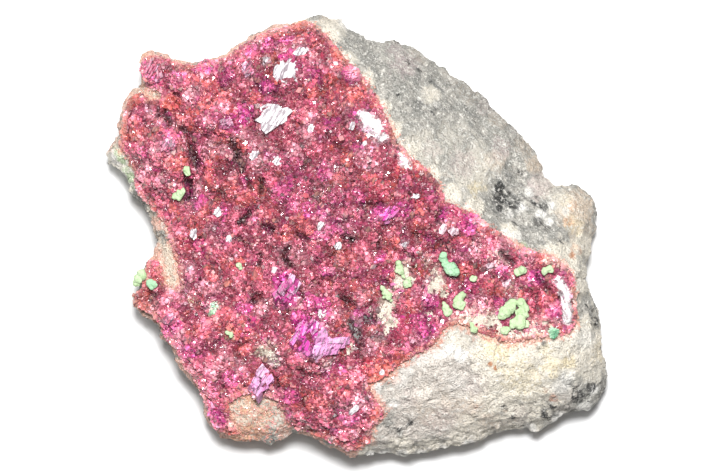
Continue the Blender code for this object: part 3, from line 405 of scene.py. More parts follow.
def dressed_stone():
    """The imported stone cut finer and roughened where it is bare, with the strength of each stain."""
    mesh = merged_copy("matrix_stone")
    cut_finer(mesh, stone_edge_limit, 4)
    mesh.normal_update()
    shifts, fringe_and_painted_light = [], []
    for vert in mesh.verts:
        point = vert.co
        # The fringe is a salmon stain beside the crust's edge, stronger below and to the left: partly the real fringe
        # and partly painted light over the shadow that the crust's edge casts.
        near = crust_tree.find_nearest(point)[3] / FRINGE + 0.5 * rough(point, 1.1, 2.0)
        fringe_and_painted_light.append(max(0.0, 1 - near) if point.y < 0 or point.x < -5 * MM else 0.5 * max(0.0, 1 - near))
        on_back = min(1.0, max(0.0, (point.z - 0.2 * MM) / (1.5 * MM)))
        hidden = under_crust(point)
        free = 0.0 if hidden else min(1.0, crust_tree.find_nearest(point)[3] / (1.0 * MM))
        push = 0.0
        for seed, (wavelength, height) in enumerate(STONE_LUMPS):
            value = rough(point, wavelength, 3.7 * seed + 1)
            push += height * MM * (0.5 - 2.2 * abs(value) if seed == 0 else value * 1.6)
        for seed, (size, height) in enumerate(STONE_FACETS):
            push += height * MM * facet(point, size, 2.3 * seed)
        shifts.append((vert.normal * push * on_back * free, hidden))
    sink = gap_depth(np.array([v.co for v in mesh.verts]))
    for vert, (shift, hidden), down in zip(mesh.verts, shifts, sink):
        vert.co += shift
        vert.co.z = max(vert.co.z - (down if hidden else 0.0), 0.0)
    made = finished(mesh, "stone", smooth=True)
    store(made.data, "fringe_and_painted_light", fringe_and_painted_light)
    points = points_of(made.data)
    wobble = np.array([rough(Vector(p), 1.9, 5.5) + 0.6 * rough(Vector(p), 0.8, 9.1) for p in points])
    for kind, marks in STONE_STAINS.items():
        store(made.data, kind, patches(points, marks, wobble))
    return made


def stone_material():
    made, tree, shader = new_material("stone", 0.78, Specular_IOR_Level=0.3)
    grain = grain_of(tree, 1500.0)
    fine = grain_of(tree, 3000.0)
    place = placed(tree, "TexCoord").outputs["Object"]
    slanted = placed(
        tree, "Mapping", {"vector_type": "TEXTURE"}, Vector=place, Rotation=(0, 0, math.radians(-42)), Scale=(5, 1, 1)
    )
    streaks = placed(tree, "TexNoise", Vector=slanted.outputs[0], Scale=900.0, Detail=4.0, Roughness=0.6)
    patchy = ramp(tree, grain.outputs["Clumps"], 0.28, 0.72)
    colour = blended(tree, patchy, (0.285, 0.28, 0.255, 1), (0.43, 0.41, 0.37, 1))
    stains = (
        ("pale", (0.67, 0.605, 0.545, 1), 0.3, 0.85), ("beige", (0.72, 0.58, 0.45, 1), 0.4, 0.75),
        ("cream", (0.74, 0.685, 0.585, 1), 0.35, 0.9),
        # The salmon is the rim's real stain, and its brightness is partly painted light for rim faces that turn away
        # from the lamps.
        ("yellow", (0.78, 0.66, 0.42, 1), 0.4, 0.75), ("salmon", (0.80, 0.46, 0.36, 1), 0.35, 0.85),
        ("mauve", (0.50, 0.41, 0.40, 1), 0.5, 0.7),
        ("white", (0.86, 0.84, 0.80, 1), 0.35, 0.85), ("green", (0.56, 0.70, 0.42, 1), 0.8, 0.95),
        ("smoky", (0.16, 0.16, 0.155, 1), 0.95, 0.75), ("rust", (0.46, 0.17, 0.06, 1), 0.6, 0.85),
        ("orange", (0.86, 0.46, 0.27, 1), 0.5, 0.8), ("fringe_and_painted_light", (0.80, 0.42, 0.32, 1), 0.75, 0.75),
        ("dark", (0.022, 0.022, 0.022, 1), 0.7, 0.95),
    )
    colour = blended(tree, ramp(tree, streaks.outputs["Fac"], 0.5, 0.72, 0, 0.45), colour, (0.185, 0.18, 0.17, 1))
    slant = ramp(tree, streaks.outputs["Fac"], 0.38, 0.62)
    for kind, stain, broken, most in stains:
        amount = placed(tree, "Attribute", {"attribute_name": kind}).outputs["Fac"]
        source = slant if kind in ("dark", "smoky") else (fine if kind == "green" else grain).outputs["Grain"]
        loss = placed(tree, "Math", {"operation": "MULTIPLY"}, i0=source, i1=broken)
        net = placed(tree, "Math", {"operation": "SUBTRACT"}, i0=amount, i1=loss.outputs[0])
        colour = blended(tree, ramp(tree, net.outputs[0], 0.0, 0.5, 0.0, most), colour, stain)
    pale = ramp(tree, grain.outputs["Grain"], 0.58, 0.85, 0.0, 0.6)
    colour = blended(tree, pale, colour, (0.78, 0.755, 0.70, 1))
    dirt = ramp(tree, grain.outputs["Grain"], 0.32, 0.05, 0.0, 0.35)
    colour = blended(tree, dirt, colour, (0.13, 0.115, 0.10, 1))
    fleck = ramp(tree, fine.outputs["Grain"], 0.34, 0.1, 0.0, 0.4)
    colour = blended(tree, fleck, colour, (0.10, 0.09, 0.08, 1))
    colour = blended(tree, ramp(tree, fine.outputs["Specks"], 0.0, 1.0, 0.0, 0.45), colour, (0.86, 0.84, 0.80, 1))
    speckle = blended(tree, fine.outputs["Grain"], (0.74, 0.735, 0.73, 1), (1.22, 1.22, 1.22, 1))
    colour = blended(tree, 1.0, colour, speckle, mode="MULTIPLY")
    tree.links.new(colour, shader.inputs["Base Color"])
    tree.links.new(ramp(tree, grain.outputs["Grain"], 0, 1, 0.6, 0.9), shader.inputs["Roughness"])
    height = placed(tree, "Math", {"operation": "ADD"}, i0=fine.outputs["Grain"], i1=grain.outputs["Grain"])
    relief(tree, shader, height.outputs[0], 0.8, 0.00025)
    return made


stone = dressed_stone()
stone.data.materials.append(stone_material())
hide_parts("matrix_stone")
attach(stone, "root")


# The crust's ground: the deep red mass from which the crystals stand out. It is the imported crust
# with its coarse tips rounded and cut finer, and it grew on the stone.
GROUND_FINE = 0.9 * MM
CLUMP = 2.7 * MM
# Lumps that stand up from the crust, as (u, v, radius in steps, height in mm)
LUMPS = [
    (166, 146, 19, 0.4), (212, 150, 13, 0.3), (222, 172, 12, 0.3), (233, 188, 11, 0.4), (200, 120, 10, 0.5),
    (430, 193, 10, 0.6), (465, 224, 11, 0.6), (457, 243, 9, 0.6), (335, 190, 14, 0.5), (318, 182, 12, 0.5),
    (147, 74, 12, 0.6), (420, 300, 10, 0.4), (480, 303, 9, 0.6), (322, 302, 12, 0.5), (225, 350, 14, 0.5),
    (330, 400, 16, 0.4), (285, 200, 12, 0.4), (135, 128, 12, 0.5), (207, 70, 9, 0.5), (300, 265, 10, 0.4),
    (280, 225, 8, 0.4), (245, 260, 9, 0.5), (195, 345, 12, 0.4), (350, 360, 12, 0.4), (250, 370, 10, 0.4),
    (395, 240, 9, 0.4),
]


# Where the crust has no crystals, but bare cream or white calcite, as for the stains of the stone
BARE = {
    "cream": [
        (384, 312, 8, 1.0), (390, 303, 6, 1.0), (391, 322, 7, 1.0), (386, 330, 4, 0.8), (437, 282, 7, 1.0),
        (443, 293, 5, 1.0), (430, 289, 5, 0.8), (404, 272, 6, 1.0), (400, 281, 7, 1.0), (411, 279, 5, 0.9),
        (489, 320, 8, 1.0), (478, 319, 6, 1.0), (469, 321, 6, 1.0), (498, 325, 5, 0.9), (507, 343, 5, 0.9),
        (262, 351, 6, 0.8), (270, 353, 5, 0.8), (276, 361, 5, 0.7), (452, 322, 4, 0.7), (533, 333, 6, 0.9),
        (543, 322, 4, 0.6), (576, 285, 5, 0.9), (578, 300, 5, 0.9), (578, 315, 5, 0.9), (573, 328, 4, 0.7),
        (347, 350, 5, 0.7), (353, 345, 4, 0.7), (330, 363, 4, 0.6), (172, 280, 6, 0.8), (180, 262, 4, 0.6),
        (416, 265, 3, 0.7), (370, 310, 5, 0.6), (512, 255, 4, 0.4), (430, 315, 5, 0.6), (515, 334, 8, 0.8),
        (500, 331, 7, 0.9), (528, 338, 8, 0.9), (456, 327, 6, 0.7), (520, 344, 9, 0.9), (545, 341, 6, 0.7),
        (572, 272, 5, 0.7), (571, 292, 4, 0.8), (573, 308, 4, 0.8), (434, 270, 5, 0.6), (441, 288, 7, 0.7),
        (499, 252, 4, 0.6), (506, 262, 3, 0.5), (470, 300, 3, 0.5), (538, 318, 4, 0.4),
    ],
    "white": [
        (367, 119, 6, 1.0), (373, 124, 7, 1.0), (378, 131, 7, 1.0), (383, 139, 5, 1.0), (360, 115, 4, 0.9),
        (404, 161, 5, 1.0), (408, 168, 4, 1.0), (400, 155, 3, 0.9), (556, 279, 5, 1.0), (560, 286, 6, 1.0),
        (563, 294, 6, 1.0), (565, 303, 6, 1.0), (566, 312, 6, 1.0), (567, 320, 5, 1.0), (323, 313, 4, 0.7),
        (320, 304, 3, 0.7), (480, 224, 3, 0.6),
    ],
    "smoke": [(357, 333, 6, 0.9), (352, 324, 5, 0.8), (368, 319, 6, 0.9), (345, 300, 5, 0.6), (338, 296, 4, 0.6)],
}


def near_the_rim(places):
    """How near each place is to the crust's rim, as the share of the places around it that have no crust."""
    share = np.zeros(len(places))
    for reach, turns in ((1.0, 5), (0.5, 3)):
        for turn in np.arange(turns) * math.tau / turns + reach:
            x, y = reach * MM * math.cos(turn), reach * MM * math.sin(turn)
            share += [dropped(crust_tree, p[0] + x, p[1] + y) is None for p in places]
    return np.clip(share / 4, 0, 1)


def clump_of(point):
    """How far a point lies from the middle of its clump of crystals, and where that middle is."""
    away, middles = noise.voronoi(point / CLUMP)
    return away[0], middles[0]


def crust_ground():
    """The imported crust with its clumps, lumps and gaps, and the strength of each bare patch."""
    mesh = merged_copy("cobaltoan_calcite_crust")
    cut_finer(mesh, lambda edge: GROUND_FINE, 2)
    top = [v for v in mesh.verts if v.normal.z > 0.1]
    for _ in range(3):
        bmesh.ops.smooth_vert(mesh, verts=top, factor=0.5, use_axis_x=True, use_axis_y=True, use_axis_z=True)
    mesh.normal_update()
    points = np.array([v.co for v in top])
    raised = np.zeros(len(top))
    for u, v, radius, height in LUMPS:
        away = np.hypot(*(points[:, :2] - at(u, v)).T) / (radius * STEP)
        raised = np.maximum(raised, height * np.clip(1 - away**2, 0, 1))
    raised *= clear_of_balls(points, 1.5 * MM)
    for vert, lift in zip(top, raised):
        clump = 1.35 * (0.42 - clump_of(vert.co)[0]) + 0.45 * rough(vert.co, 4.2, 1.7)
        vert.co += vert.normal * (clump + lift + rough(vert.co, 1.3, 6.0) * 0.25) * MM
    sink = gap_depth(np.array([v.co for v in mesh.verts]))
    for vert, down in zip(mesh.verts, sink):
        vert.co.z -= down
    global ground_tree
    ground_tree = BVHTree.FromBMesh(mesh)
    made = finished(mesh, "crust_ground", smooth=True)
    points = points_of(made.data)
    wobble = np.array([rough(Vector(p), 1.2, 5.5) + 0.6 * rough(Vector(p), 0.6, 9.1) for p in points])
    for kind, marks in BARE.items():
        store(made.data, kind, patches(points, marks, wobble))
    store(made.data, "rim", near_the_rim(points))
    return made


def ground_material():
    made, tree, shader = new_material("crust_ground", 0.35, IOR=1.6)
    grain = grain_of(tree, 2200.0)
    colour = blended(tree, grain.outputs["Clumps"], (0.07, 0.006, 0.014, 1), (0.20, 0.026, 0.05, 1))
    colour = blended(tree, grain.outputs["Grain"], colour, (0.28, 0.05, 0.08, 1))
    fine = grain_of(tree, 4200.0)
    for kind, low, high in (
        ("cream", (0.34, 0.28, 0.22, 1), (0.62, 0.56, 0.47, 1)),
        ("white", (0.62, 0.50, 0.54, 1), (0.80, 0.76, 0.75, 1)),
        ("smoke", (0.05, 0.05, 0.05, 1), (0.24, 0.23, 0.22, 1)),
        # Near the crust's rim the ground turns a paler salmon: partly the real fringe and partly painted light that
        # lifts the shade on the crust's edge.
        ("rim", (0.40, 0.12, 0.10, 1), (0.70, 0.36, 0.29, 1)),
    ):
        amount = placed(tree, "Attribute", {"attribute_name": kind}).outputs["Fac"]
        tone = blended(tree, ramp(tree, fine.outputs["Grain"], 0.15, 0.6), low, high)
        colour = blended(tree, ramp(tree, amount, 0.25, 0.6), colour, tone)
    tree.links.new(colour, shader.inputs["Base Color"])
    relief(tree, shader, grain.outputs["Grain"], 0.8, 0.0002)
    return made


ground = crust_ground()
ground.data.materials.append(ground_material())
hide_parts("cobaltoan_calcite_crust")
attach(ground, "root")


# The small crystals: calcite rhombs of a quarter to two thirds of a millimetre, grown together all
# over the crust, and thinly on the stone beside it. Each copies one rhomb, in a colour of its own.
PALETTE = {
    "wine": (0.115, 0.005, 0.018), "crimson": (0.34, 0.020, 0.060), "rose": (0.44, 0.075, 0.135),
    "pale": (0.58, 0.29, 0.34), "mauve": (0.265, 0.034, 0.115), "magenta": (0.48, 0.024, 0.235),
    "orange": (0.46, 0.080, 0.045), "white": (0.56, 0.49, 0.52), "grey": (0.26, 0.235, 0.225),
    "cream": (0.48, 0.42, 0.33), "dark": (0.03, 0.026, 0.028), "green": (0.34, 0.45, 0.25),
    "brown": (0.26, 0.07, 0.05), "mint": (0.28, 0.50, 0.34),
}
USUAL_SHARES = {
    "wine": 0.15, "crimson": 0.34, "rose": 0.20, "pale": 0.07, "mauve": 0.08, "magenta": 0.025, "orange": 0.05,
    "brown": 0.05, "cream": 0.03,
}
# Where the crust's colour differs, as (u, v, radius in steps, colour, share of the crystals).
# Later places lie over earlier ones.
CRUST_ZONES = [
    (200, 75, 14, "orange", 0.3), (160, 78, 14, "crimson", 0.3), (145, 70, 9, "magenta", 0.5),
    (155, 84, 8, "magenta", 0.4), (207, 68, 8, "magenta", 0.6), (243, 60, 9, "rose", 0.4),
    (250, 50, 8, "magenta", 0.4), (265, 86, 9, "magenta", 0.5), (246, 116, 9, "magenta", 0.6),
    (235, 125, 9, "magenta", 0.4), (228, 76, 9, "magenta", 0.3), (250, 75, 7, "pale", 0.3),
    (300, 48, 8, "pale", 0.5), (267, 62, 5, "white", 0.6), (316, 78, 9, "magenta", 0.4), (300, 28, 9, "orange", 0.6),
    (335, 92, 12, "orange", 0.35), (356, 96, 12, "orange", 0.55), (355, 78, 8, "pale", 0.4),
    (340, 62, 10, "orange", 0.4), (195, 92, 8, "pale", 0.4), (132, 100, 9, "orange", 0.6),
    (128, 128, 12, "orange", 0.5), (150, 110, 5, "pale", 0.6), (173, 104, 8, "orange", 0.5),
    (167, 146, 14, "pale", 0.3), (170, 138, 9, "magenta", 0.35), (145, 145, 10, "rose", 0.4),
    (176, 165, 8, "orange", 0.4), (193, 128, 8, "wine", 0.5), (196, 140, 8, "mauve", 0.4),
    (214, 150, 10, "pale", 0.3), (215, 165, 9, "orange", 0.6), (213, 180, 8, "orange", 0.35),
    (232, 190, 12, "orange", 0.35), (225, 165, 7, "wine", 0.4), (262, 160, 9, "grey", 0.25),
    (192, 205, 8, "pale", 0.25), (270, 205, 12, "orange", 0.25), (290, 205, 9, "magenta", 0.25),
    (288, 230, 9, "orange", 0.5), (318, 187, 9, "wine", 0.45), (335, 175, 10, "pale", 0.25),
    (325, 225, 12, "pale", 0.25), (336, 225, 8, "magenta", 0.3), (340, 205, 10, "mauve", 0.3),
    (370, 215, 12, "mauve", 0.4), (380, 213, 8, "magenta", 0.6), (402, 210, 8, "magenta", 0.5),
    (395, 168, 10, "crimson", 0.5), (380, 190, 12, "crimson", 0.4), (372, 128, 10, "white", 0.7),
    (366, 119, 7, "white", 0.7), (381, 139, 6, "white", 0.8), (405, 163, 6, "white", 0.8),
    (392, 145, 5, "pale", 0.6), (412, 172, 8, "orange", 0.4), (430, 195, 8, "magenta", 0.35),
    (418, 196, 9, "crimson", 0.5), (445, 213, 7, "magenta", 0.4), (468, 222, 10, "magenta", 0.65),
    (478, 224, 6, "pale", 0.5), (455, 215, 8, "crimson", 0.5), (441, 227, 6, "pale", 0.6),
    (458, 250, 10, "mauve", 0.5), (475, 243, 7, "pale", 0.4), (418, 230, 9, "orange", 0.4),
    (390, 245, 9, "orange", 0.4), (345, 258, 12, "orange", 0.45), (300, 235, 10, "wine", 0.45),
    (350, 240, 9, "wine", 0.5), (417, 241, 4, "dark", 0.6), (404, 244, 4, "white", 0.5),
    (418, 268, 8, "orange", 0.65), (403, 268, 8, "cream", 0.55), (405, 280, 7, "cream", 0.6),
    (434, 280, 9, "grey", 0.45), (437, 286, 8, "cream", 0.5), (398, 282, 6, "grey", 0.5),
    (420, 296, 12, "mauve", 0.4), (430, 300, 9, "magenta", 0.35), (388, 290, 6, "green", 0.3),
    (372, 292, 9, "orange", 0.4), (385, 303, 9, "cream", 0.6), (387, 320, 8, "cream", 0.6),
    (378, 312, 7, "grey", 0.5), (367, 319, 7, "dark", 0.6), (357, 334, 7, "dark", 0.6), (345, 300, 8, "wine", 0.5),
    (352, 322, 8, "grey", 0.5), (378, 335, 9, "grey", 0.4), (425, 330, 11, "magenta", 0.4),
    (437, 341, 5, "orange", 0.8), (405, 325, 8, "crimson", 0.5), (395, 338, 7, "crimson", 0.5),
    (480, 290, 8, "crimson", 0.5), (478, 300, 7, "pale", 0.5), (490, 265, 6, "pale", 0.5),
    (500, 262, 6, "pale", 0.4), (535, 300, 14, "crimson", 0.5), (533, 277, 8, "magenta", 0.6),
    (506, 284, 5, "pale", 0.8), (520, 285, 5, "mauve", 0.5), (558, 282, 5, "white", 0.9),
    (562, 291, 5, "white", 0.95), (564, 300, 5, "white", 0.95), (565, 310, 5, "white", 0.95),
    (565, 319, 5, "white", 0.9), (487, 318, 10, "cream", 0.6), (478, 327, 5, "crimson", 0.6),
    (500, 335, 8, "orange", 0.5), (530, 330, 8, "pale", 0.4), (565, 330, 6, "magenta", 0.3),
    (465, 323, 8, "cream", 0.6), (455, 318, 6, "cream", 0.4), (510, 308, 8, "grey", 0.5),
    (285, 283, 11, "magenta", 0.85), (290, 296, 9, "magenta", 0.7), (303, 325, 11, "magenta", 0.85),
    (305, 345, 10, "magenta", 0.7), (322, 318, 9, "magenta", 0.4), (322, 305, 8, "magenta", 0.5),
    (270, 347, 9, "cream", 0.4), (262, 351, 7, "cream", 0.5), (276, 361, 8, "grey", 0.6), (327, 363, 7, "grey", 0.4),
    (262, 382, 10, "magenta", 0.5), (270, 390, 7, "pale", 0.5), (225, 360, 10, "pale", 0.35),
    (195, 302, 7, "green", 0.2), (213, 306, 7, "grey", 0.4), (230, 333, 6, "green", 0.25),
    (190, 268, 7, "pale", 0.5), (182, 290, 9, "pale", 0.35), (172, 275, 8, "cream", 0.4),
    (210, 335, 14, "mauve", 0.25), (185, 350, 12, "magenta", 0.25), (172, 325, 9, "magenta", 0.45),
    (150, 265, 7, "crimson", 0.5), (145, 302, 9, "orange", 0.6), (185, 245, 9, "orange", 0.3),
    (205, 245, 10, "crimson", 0.5), (222, 320, 12, "orange", 0.3), (250, 330, 12, "orange", 0.3),
    (265, 325, 9, "crimson", 0.5), (295, 335, 7, "orange", 0.5), (220, 420, 12, "magenta", 0.3),
    (215, 417, 7, "magenta", 0.5), (232, 433, 9, "orange", 0.5), (285, 415, 6, "magenta", 0.6),
    (345, 410, 9, "pale", 0.25), (380, 368, 11, "orange", 0.7), (365, 365, 9, "crimson", 0.5),
    (401, 358, 8, "orange", 0.5), (378, 378, 7, "orange", 0.5), (375, 412, 6, "orange", 0.7),
    (362, 445, 8, "orange", 0.5), (345, 430, 8, "crimson", 0.4), (310, 378, 9, "wine", 0.4),
    (340, 385, 9, "orange", 0.35), (365, 400, 7, "pale", 0.4), (245, 350, 8, "orange", 0.35),
    (300, 440, 8, "pale", 0.3), (216, 305, 4, "mint", 0.9), (214, 312, 3, "mint", 0.9), (480, 240, 9, "pale", 0.3),
    (500, 250, 8, "pale", 0.35), (525, 258, 8, "pale", 0.35), (545, 262, 8, "orange", 0.35),
    (560, 272, 6, "mauve", 0.4), (487, 275, 7, "rose", 0.4), (510, 292, 8, "cream", 0.25),
    (530, 288, 8, "wine", 0.4), (548, 300, 8, "wine", 0.35), (552, 312, 7, "magenta", 0.3),
    (470, 312, 6, "cream", 0.4), (520, 338, 8, "cream", 0.35), (508, 337, 7, "cream", 0.4),
    (540, 336, 6, "cream", 0.5), (236, 420, 9, "cream", 0.4), (232, 405, 7, "orange", 0.35),
    (425, 262, 7, "cream", 0.3), (395, 292, 7, "cream", 0.4), (440, 270, 9, "cream", 0.4),
    (497, 258, 8, "cream", 0.3), (545, 325, 7, "cream", 0.4), (575, 300, 6, "cream", 0.6),
    (465, 300, 7, "cream", 0.25), (530, 322, 7, "cream", 0.3), (548, 262, 6, "cream", 0.5),
    (562, 264, 6, "cream", 0.5), (180, 380, 9, "pale", 0.3), (200, 400, 8, "pale", 0.3),
]
# Each set of crystals, as (name, count, least size, greatest size, seed, whether they are whole rhombs)
CRYSTAL_SETS = [
    ("crystals_fine", 46000, 0.28, 0.62, 41, False), ("crystals_fine_more", 46000, 0.28, 0.62, 42, False),
    ("crystals_medium", 17000, 0.26, 0.64, 43, True),
]
RHOMB_SQUASH = 0.74
BESIDE = 1.6 * MM
# The whitish pink of the painted sheen on the brightest crystals
PAINTED_SHEEN = (0.72, 0.50, 0.55)
RIM_RED = (0.62, 0.30, 0.23)
DUST = (0.68, 0.40, 0.29)


def rhomb():
    """One calcite rhomb with edges of about 1: a cube pressed along a diagonal, which points up."""
    mesh = bmesh.new()
    bmesh.ops.create_cube(mesh, size=1.0)
    upright = Vector((1, 1, 1)).rotation_difference(Vector((0, 0, 1))).to_matrix()
    squash = Matrix.Diagonal((1, 1, RHOMB_SQUASH))
    bmesh.ops.transform(mesh, matrix=(squash @ upright).to_4x4(), verts=mesh.verts)
    return mesh


def rhomb_tip():
    """The upper tip of such a rhomb: three faces and a base, for the smallest crystals."""
    mesh = bmesh.new()
    bmesh.ops.create_cone(mesh, cap_ends=True, segments=3, radius1=0.62, radius2=0.0, depth=0.8)
    bmesh.ops.remove_doubles(mesh, verts=mesh.verts, dist=1e-6)
    return mesh


def spread_over(data, count, dice, lowest_normal):
    """Random places on the upper faces of a mesh, with their normals."""
    data.calc_loop_triangles()
    corners = np.empty(len(data.loop_triangles) * 3, np.int32)
    data.loop_triangles.foreach_get("vertices", corners)
    triangles = points_of(data)[corners.reshape(-1, 3)]
    cross = np.cross(triangles[:, 1] - triangles[:, 0], triangles[:, 2] - triangles[:, 0])
    area = np.linalg.norm(cross, axis=1)
    normals = cross / np.maximum(area, 1e-15)[:, None]
    area = np.where(normals[:, 2] > lowest_normal, area, 0)
    picked = dice.choice(len(area), size=count, p=area / area.sum())
    a, b = dice.random((2, count))
    a, b = np.where(a + b > 1, 1 - a, a), np.where(a + b > 1, 1 - b, b)
    corner = triangles[picked]
    places = corner[:, 0] + a[:, None] * (corner[:, 1] - corner[:, 0]) + b[:, None] * (corner[:, 2] - corner[:, 0])
    return places, normals[picked]


def random_turns(axes, dice, lean):
    """Rotations that stand a crystal along each axis, leaning at random and turned at random."""
    up = axes + lean * dice.normal(size=axes.shape)
    up /= np.linalg.norm(up, axis=1)[:, None]
    side = np.cross(up, dice.normal(size=axes.shape))
    side /= np.linalg.norm(side, axis=1)[:, None]
    return np.stack([side, np.cross(up, side), up], axis=2)


def copies(name, shape, places, turns, sizes, colours):
    """One mesh of many copies of a small shape, each with its own place, turn, size and colour."""
    shape.verts.index_update()
    corner = np.array([v.co for v in shape.verts])
    face = np.array([[v.index for v in f.verts] for f in shape.faces])
    points = np.einsum("nij,nvj->nvi", turns, corner[None] * sizes[:, None, :]) + places[:, None]
    faces = face[None] + (np.arange(len(places)) * len(corner))[:, None, None]
    data = bpy.data.meshes.new(name)
    data.from_pydata(points.reshape(-1, 3), [], faces.reshape(-1, face.shape[1]).tolist())
    store(data, "colour", np.repeat(colours, len(corner), axis=0))
    made = bpy.data.objects.new(name, data)
    bpy.context.scene.collection.objects.link(made)
    return made


def crystal_colours(places, dice):
    """A colour for each crystal: drawn from the usual shares, its clump's and its zone's, with painted shade, painted
    light and a painted sheen.
    """
    names = list(PALETTE)
    shares = np.tile([USUAL_SHARES.get(n, 0.0) for n in names], (len(places), 1))
    wobble = np.array([rough(Vector(p), 2.2, 7.3) for p in places])
    clump = np.array([clump_of(Vector(p))[1] for p in places])
    lot = np.modf(np.abs(np.sin(clump @ [12.9898, 78.233, 37.719]) * 43758.5453))[0]
    for index, name in enumerate(("orange", "mauve", "rose", "wine", "magenta", "pale")):
        own = (lot > index * 0.13) & (lot <= (index + 1) * 0.13)
        shares[own, names.index(name)] += 0.6
    shares /= shares.sum(1)[:, None]
    for u, v, radius, name, share in CRUST_ZONES:
        amount = patches(places, [(u, v, radius, share)], wobble)[:, None]
        chosen = np.eye(len(names))[names.index(name)]
        shares = (1 - amount) * shares + amount * chosen
    picked = (shares.cumsum(1) < dice.random(len(places))[:, None]).sum(1).clip(0, len(names) - 1)
    colours = np.array([PALETTE[n] for n in names])
    colours = 0.35 * colours[picked] + 0.65 * shares @ colours
    each = (len(places), 1)
    # Each crystal's brightness: random tone, with nine in a hundred made very dark as painted shade between the
    # crystals.
    light = np.exp(dice.normal(0.1, 0.39, each)) * np.where(dice.random(each) < 0.09, 0.28, 1)
    away = np.array([clump_of(Vector(p))[0] for p in places])
    broad = np.array([rough(Vector(p), 4.2, 1.7) + 0.7 * rough(Vector(p), 1.7, 4.4) for p in places])
    # Painted shade: crystals are darker towards the edges of their clumps, where the ground dips. The broad noise is
    # random tone, but it is the noise that also lifts the ground, so raised parts are lighter, partly painted light.
    light *= ((1.13 - 0.6 * np.clip((away - 0.36) / 0.3, 0, 1)) * np.exp(0.5 * broad))[:, None]
    low, left, right = -places[:, 1:2], -places[:, :1], places[:, :1]
    # Brighter towards the bottom, which is painted light for crystals that the lamps at the top leave darker, and
    # brighter at the far left and the far right.
    light *= 1 + 0.22 * np.clip(low / (25 * MM), 0, 1) + 0.2 * np.clip((left - 18 * MM) / (10 * MM), 0, 1)
    light *= 1 + 0.3 * np.clip((right - 14 * MM) / (10 * MM), 0, 1)
    # Painted shade: crystals in the deep gaps are darkened by their depth.
    light *= 1 - 0.85 * np.clip(gap_depth(places)[:, None] / (3.0 * MM), 0, 1)
    colours = colours * light * dice.uniform(0.92, 1.08, colours.shape)
    # Painted sheen: the brightest crystals are paled towards a whitish pink.
    colours += (np.array(PAINTED_SHEEN) - colours) * 0.17 * np.clip(light - 1, 0, 2)
    rim = 0.6 * near_the_rim(places)[:, None] * dice.random(each)
    colours += (np.array(RIM_RED) - colours) * rim
    return np.hstack([np.clip(colours, 0.004, 0.9), dice.random((len(places), 1))])


def crystal_material():
    made, tree, shader = new_material("calcite_crystals", 0.2, IOR=1.5, Coat_Weight=0.2, Coat_Roughness=0.06)
    own = placed(tree, "Attribute", {"attribute_name": "colour"})
    grain = grain_of(tree, 2600.0)
    pale = ramp(tree, grain.outputs["Grain"], 0.5, 1.0, 0.0, 0.3)
    colour = blended(tree, pale, own.outputs["Color"], (0.80, 0.52, 0.57, 1))
    dusty = ramp(tree, grain.outputs["Clumps"], 0.5, 0.1, 0.0, 0.35)
    colour = blended(tree, dusty, colour, (0.12, 0.015, 0.03, 1))
    tree.links.new(colour, shader.inputs["Base Color"])
    tree.links.new(ramp(tree, own.outputs["Alpha"], 0.0, 1.0, 0.1, 0.38), shader.inputs["Roughness"])
    relief(tree, shader, grain.outputs["Grain"], 0.35, 0.0001)
    return made


LARGE_CRYSTALS = [
    (287, 74, 14, 13, 10, 7, "white"), (274, 119, 19, 14, 25, -6, "white"), (301, 53, 8, 5, 20, 8, "white"),
    (219, 212, 6, 5, 60, 6, "white"), (195, 234, 6, 4, 80, -8, "white"), (230, 238, 4, 4, 30, 5, "white"),
    (277, 161, 7, 5, 20, 9, "white"), (255, 156, 6, 4, 55, -7, "white"), (311, 129, 6, 4, 50, 8, "white"),
    (321, 225, 6, 4, 70, -6, "white"), (338, 245, 5, 4, 45, 6, "white"), (352, 127, 5, 3, 60, 10, "white"),
    (306, 335, 18, 12, 60, 22, "magenta"), (328, 344, 19, 12, 15, -10, "orchid"), (288, 288, 17, 10, 65, 22, "plum"),
    (262, 383, 14, 10, 45, 24, "orchid"), (247, 73, 8, 6, 40, 14, "rose"), (386, 216, 12, 4, 35, 18, "magenta"),
    (452, 231, 6, 5, 20, 9, "pale"), (443, 229, 7, 4, 75, -14, "pale"), (355, 407, 8, 3, 50, 12, "white"),
    (169, 320, 7, 5, 30, 18, "rose"), (152, 73, 9, 4, 70, 14, "rose"), (163, 76, 8, 4, 110, -14, "rose"),
    (168, 150, 8, 6, 20, 12, "rose"), (225, 126, 8, 5, 20, 18, "mauve"), (505, 282, 5, 4, 65, 12, "pale"),
    (415, 196, 5, 3, 15, 6, "white"), (320, 312, 6, 3, 70, 8, "white"), (267, 61, 4, 3, 30, 4, "white"),
    (381, 371, 4, 3, 50, 6, "white"), (364, 145, 4, 3, 40, 8, "white"), (489, 264, 5, 4, 30, 5, "pale"),
    (191, 268, 5, 3, 20, 8, "pale"), (275, 270, 5, 4, 60, 10, "pale"), (404, 244, 4, 3, 30, 5, "white"),
]


def clear_of_large(places):
    """Whether each place is outside the large crystals, which stand free."""
    clear = np.ones(len(places), bool)
    for u, v, length, width, turn, _, _ in LARGE_CRYSTALS:
        away = (places[:, :2] - at(u, v)) / STEP
        turn = math.radians(turn)
        along = away @ (math.cos(turn), math.sin(turn)) / length
        across = away @ (-math.sin(turn), math.cos(turn)) / width
        clear &= along**2 + across**2 > 0.6
    return clear


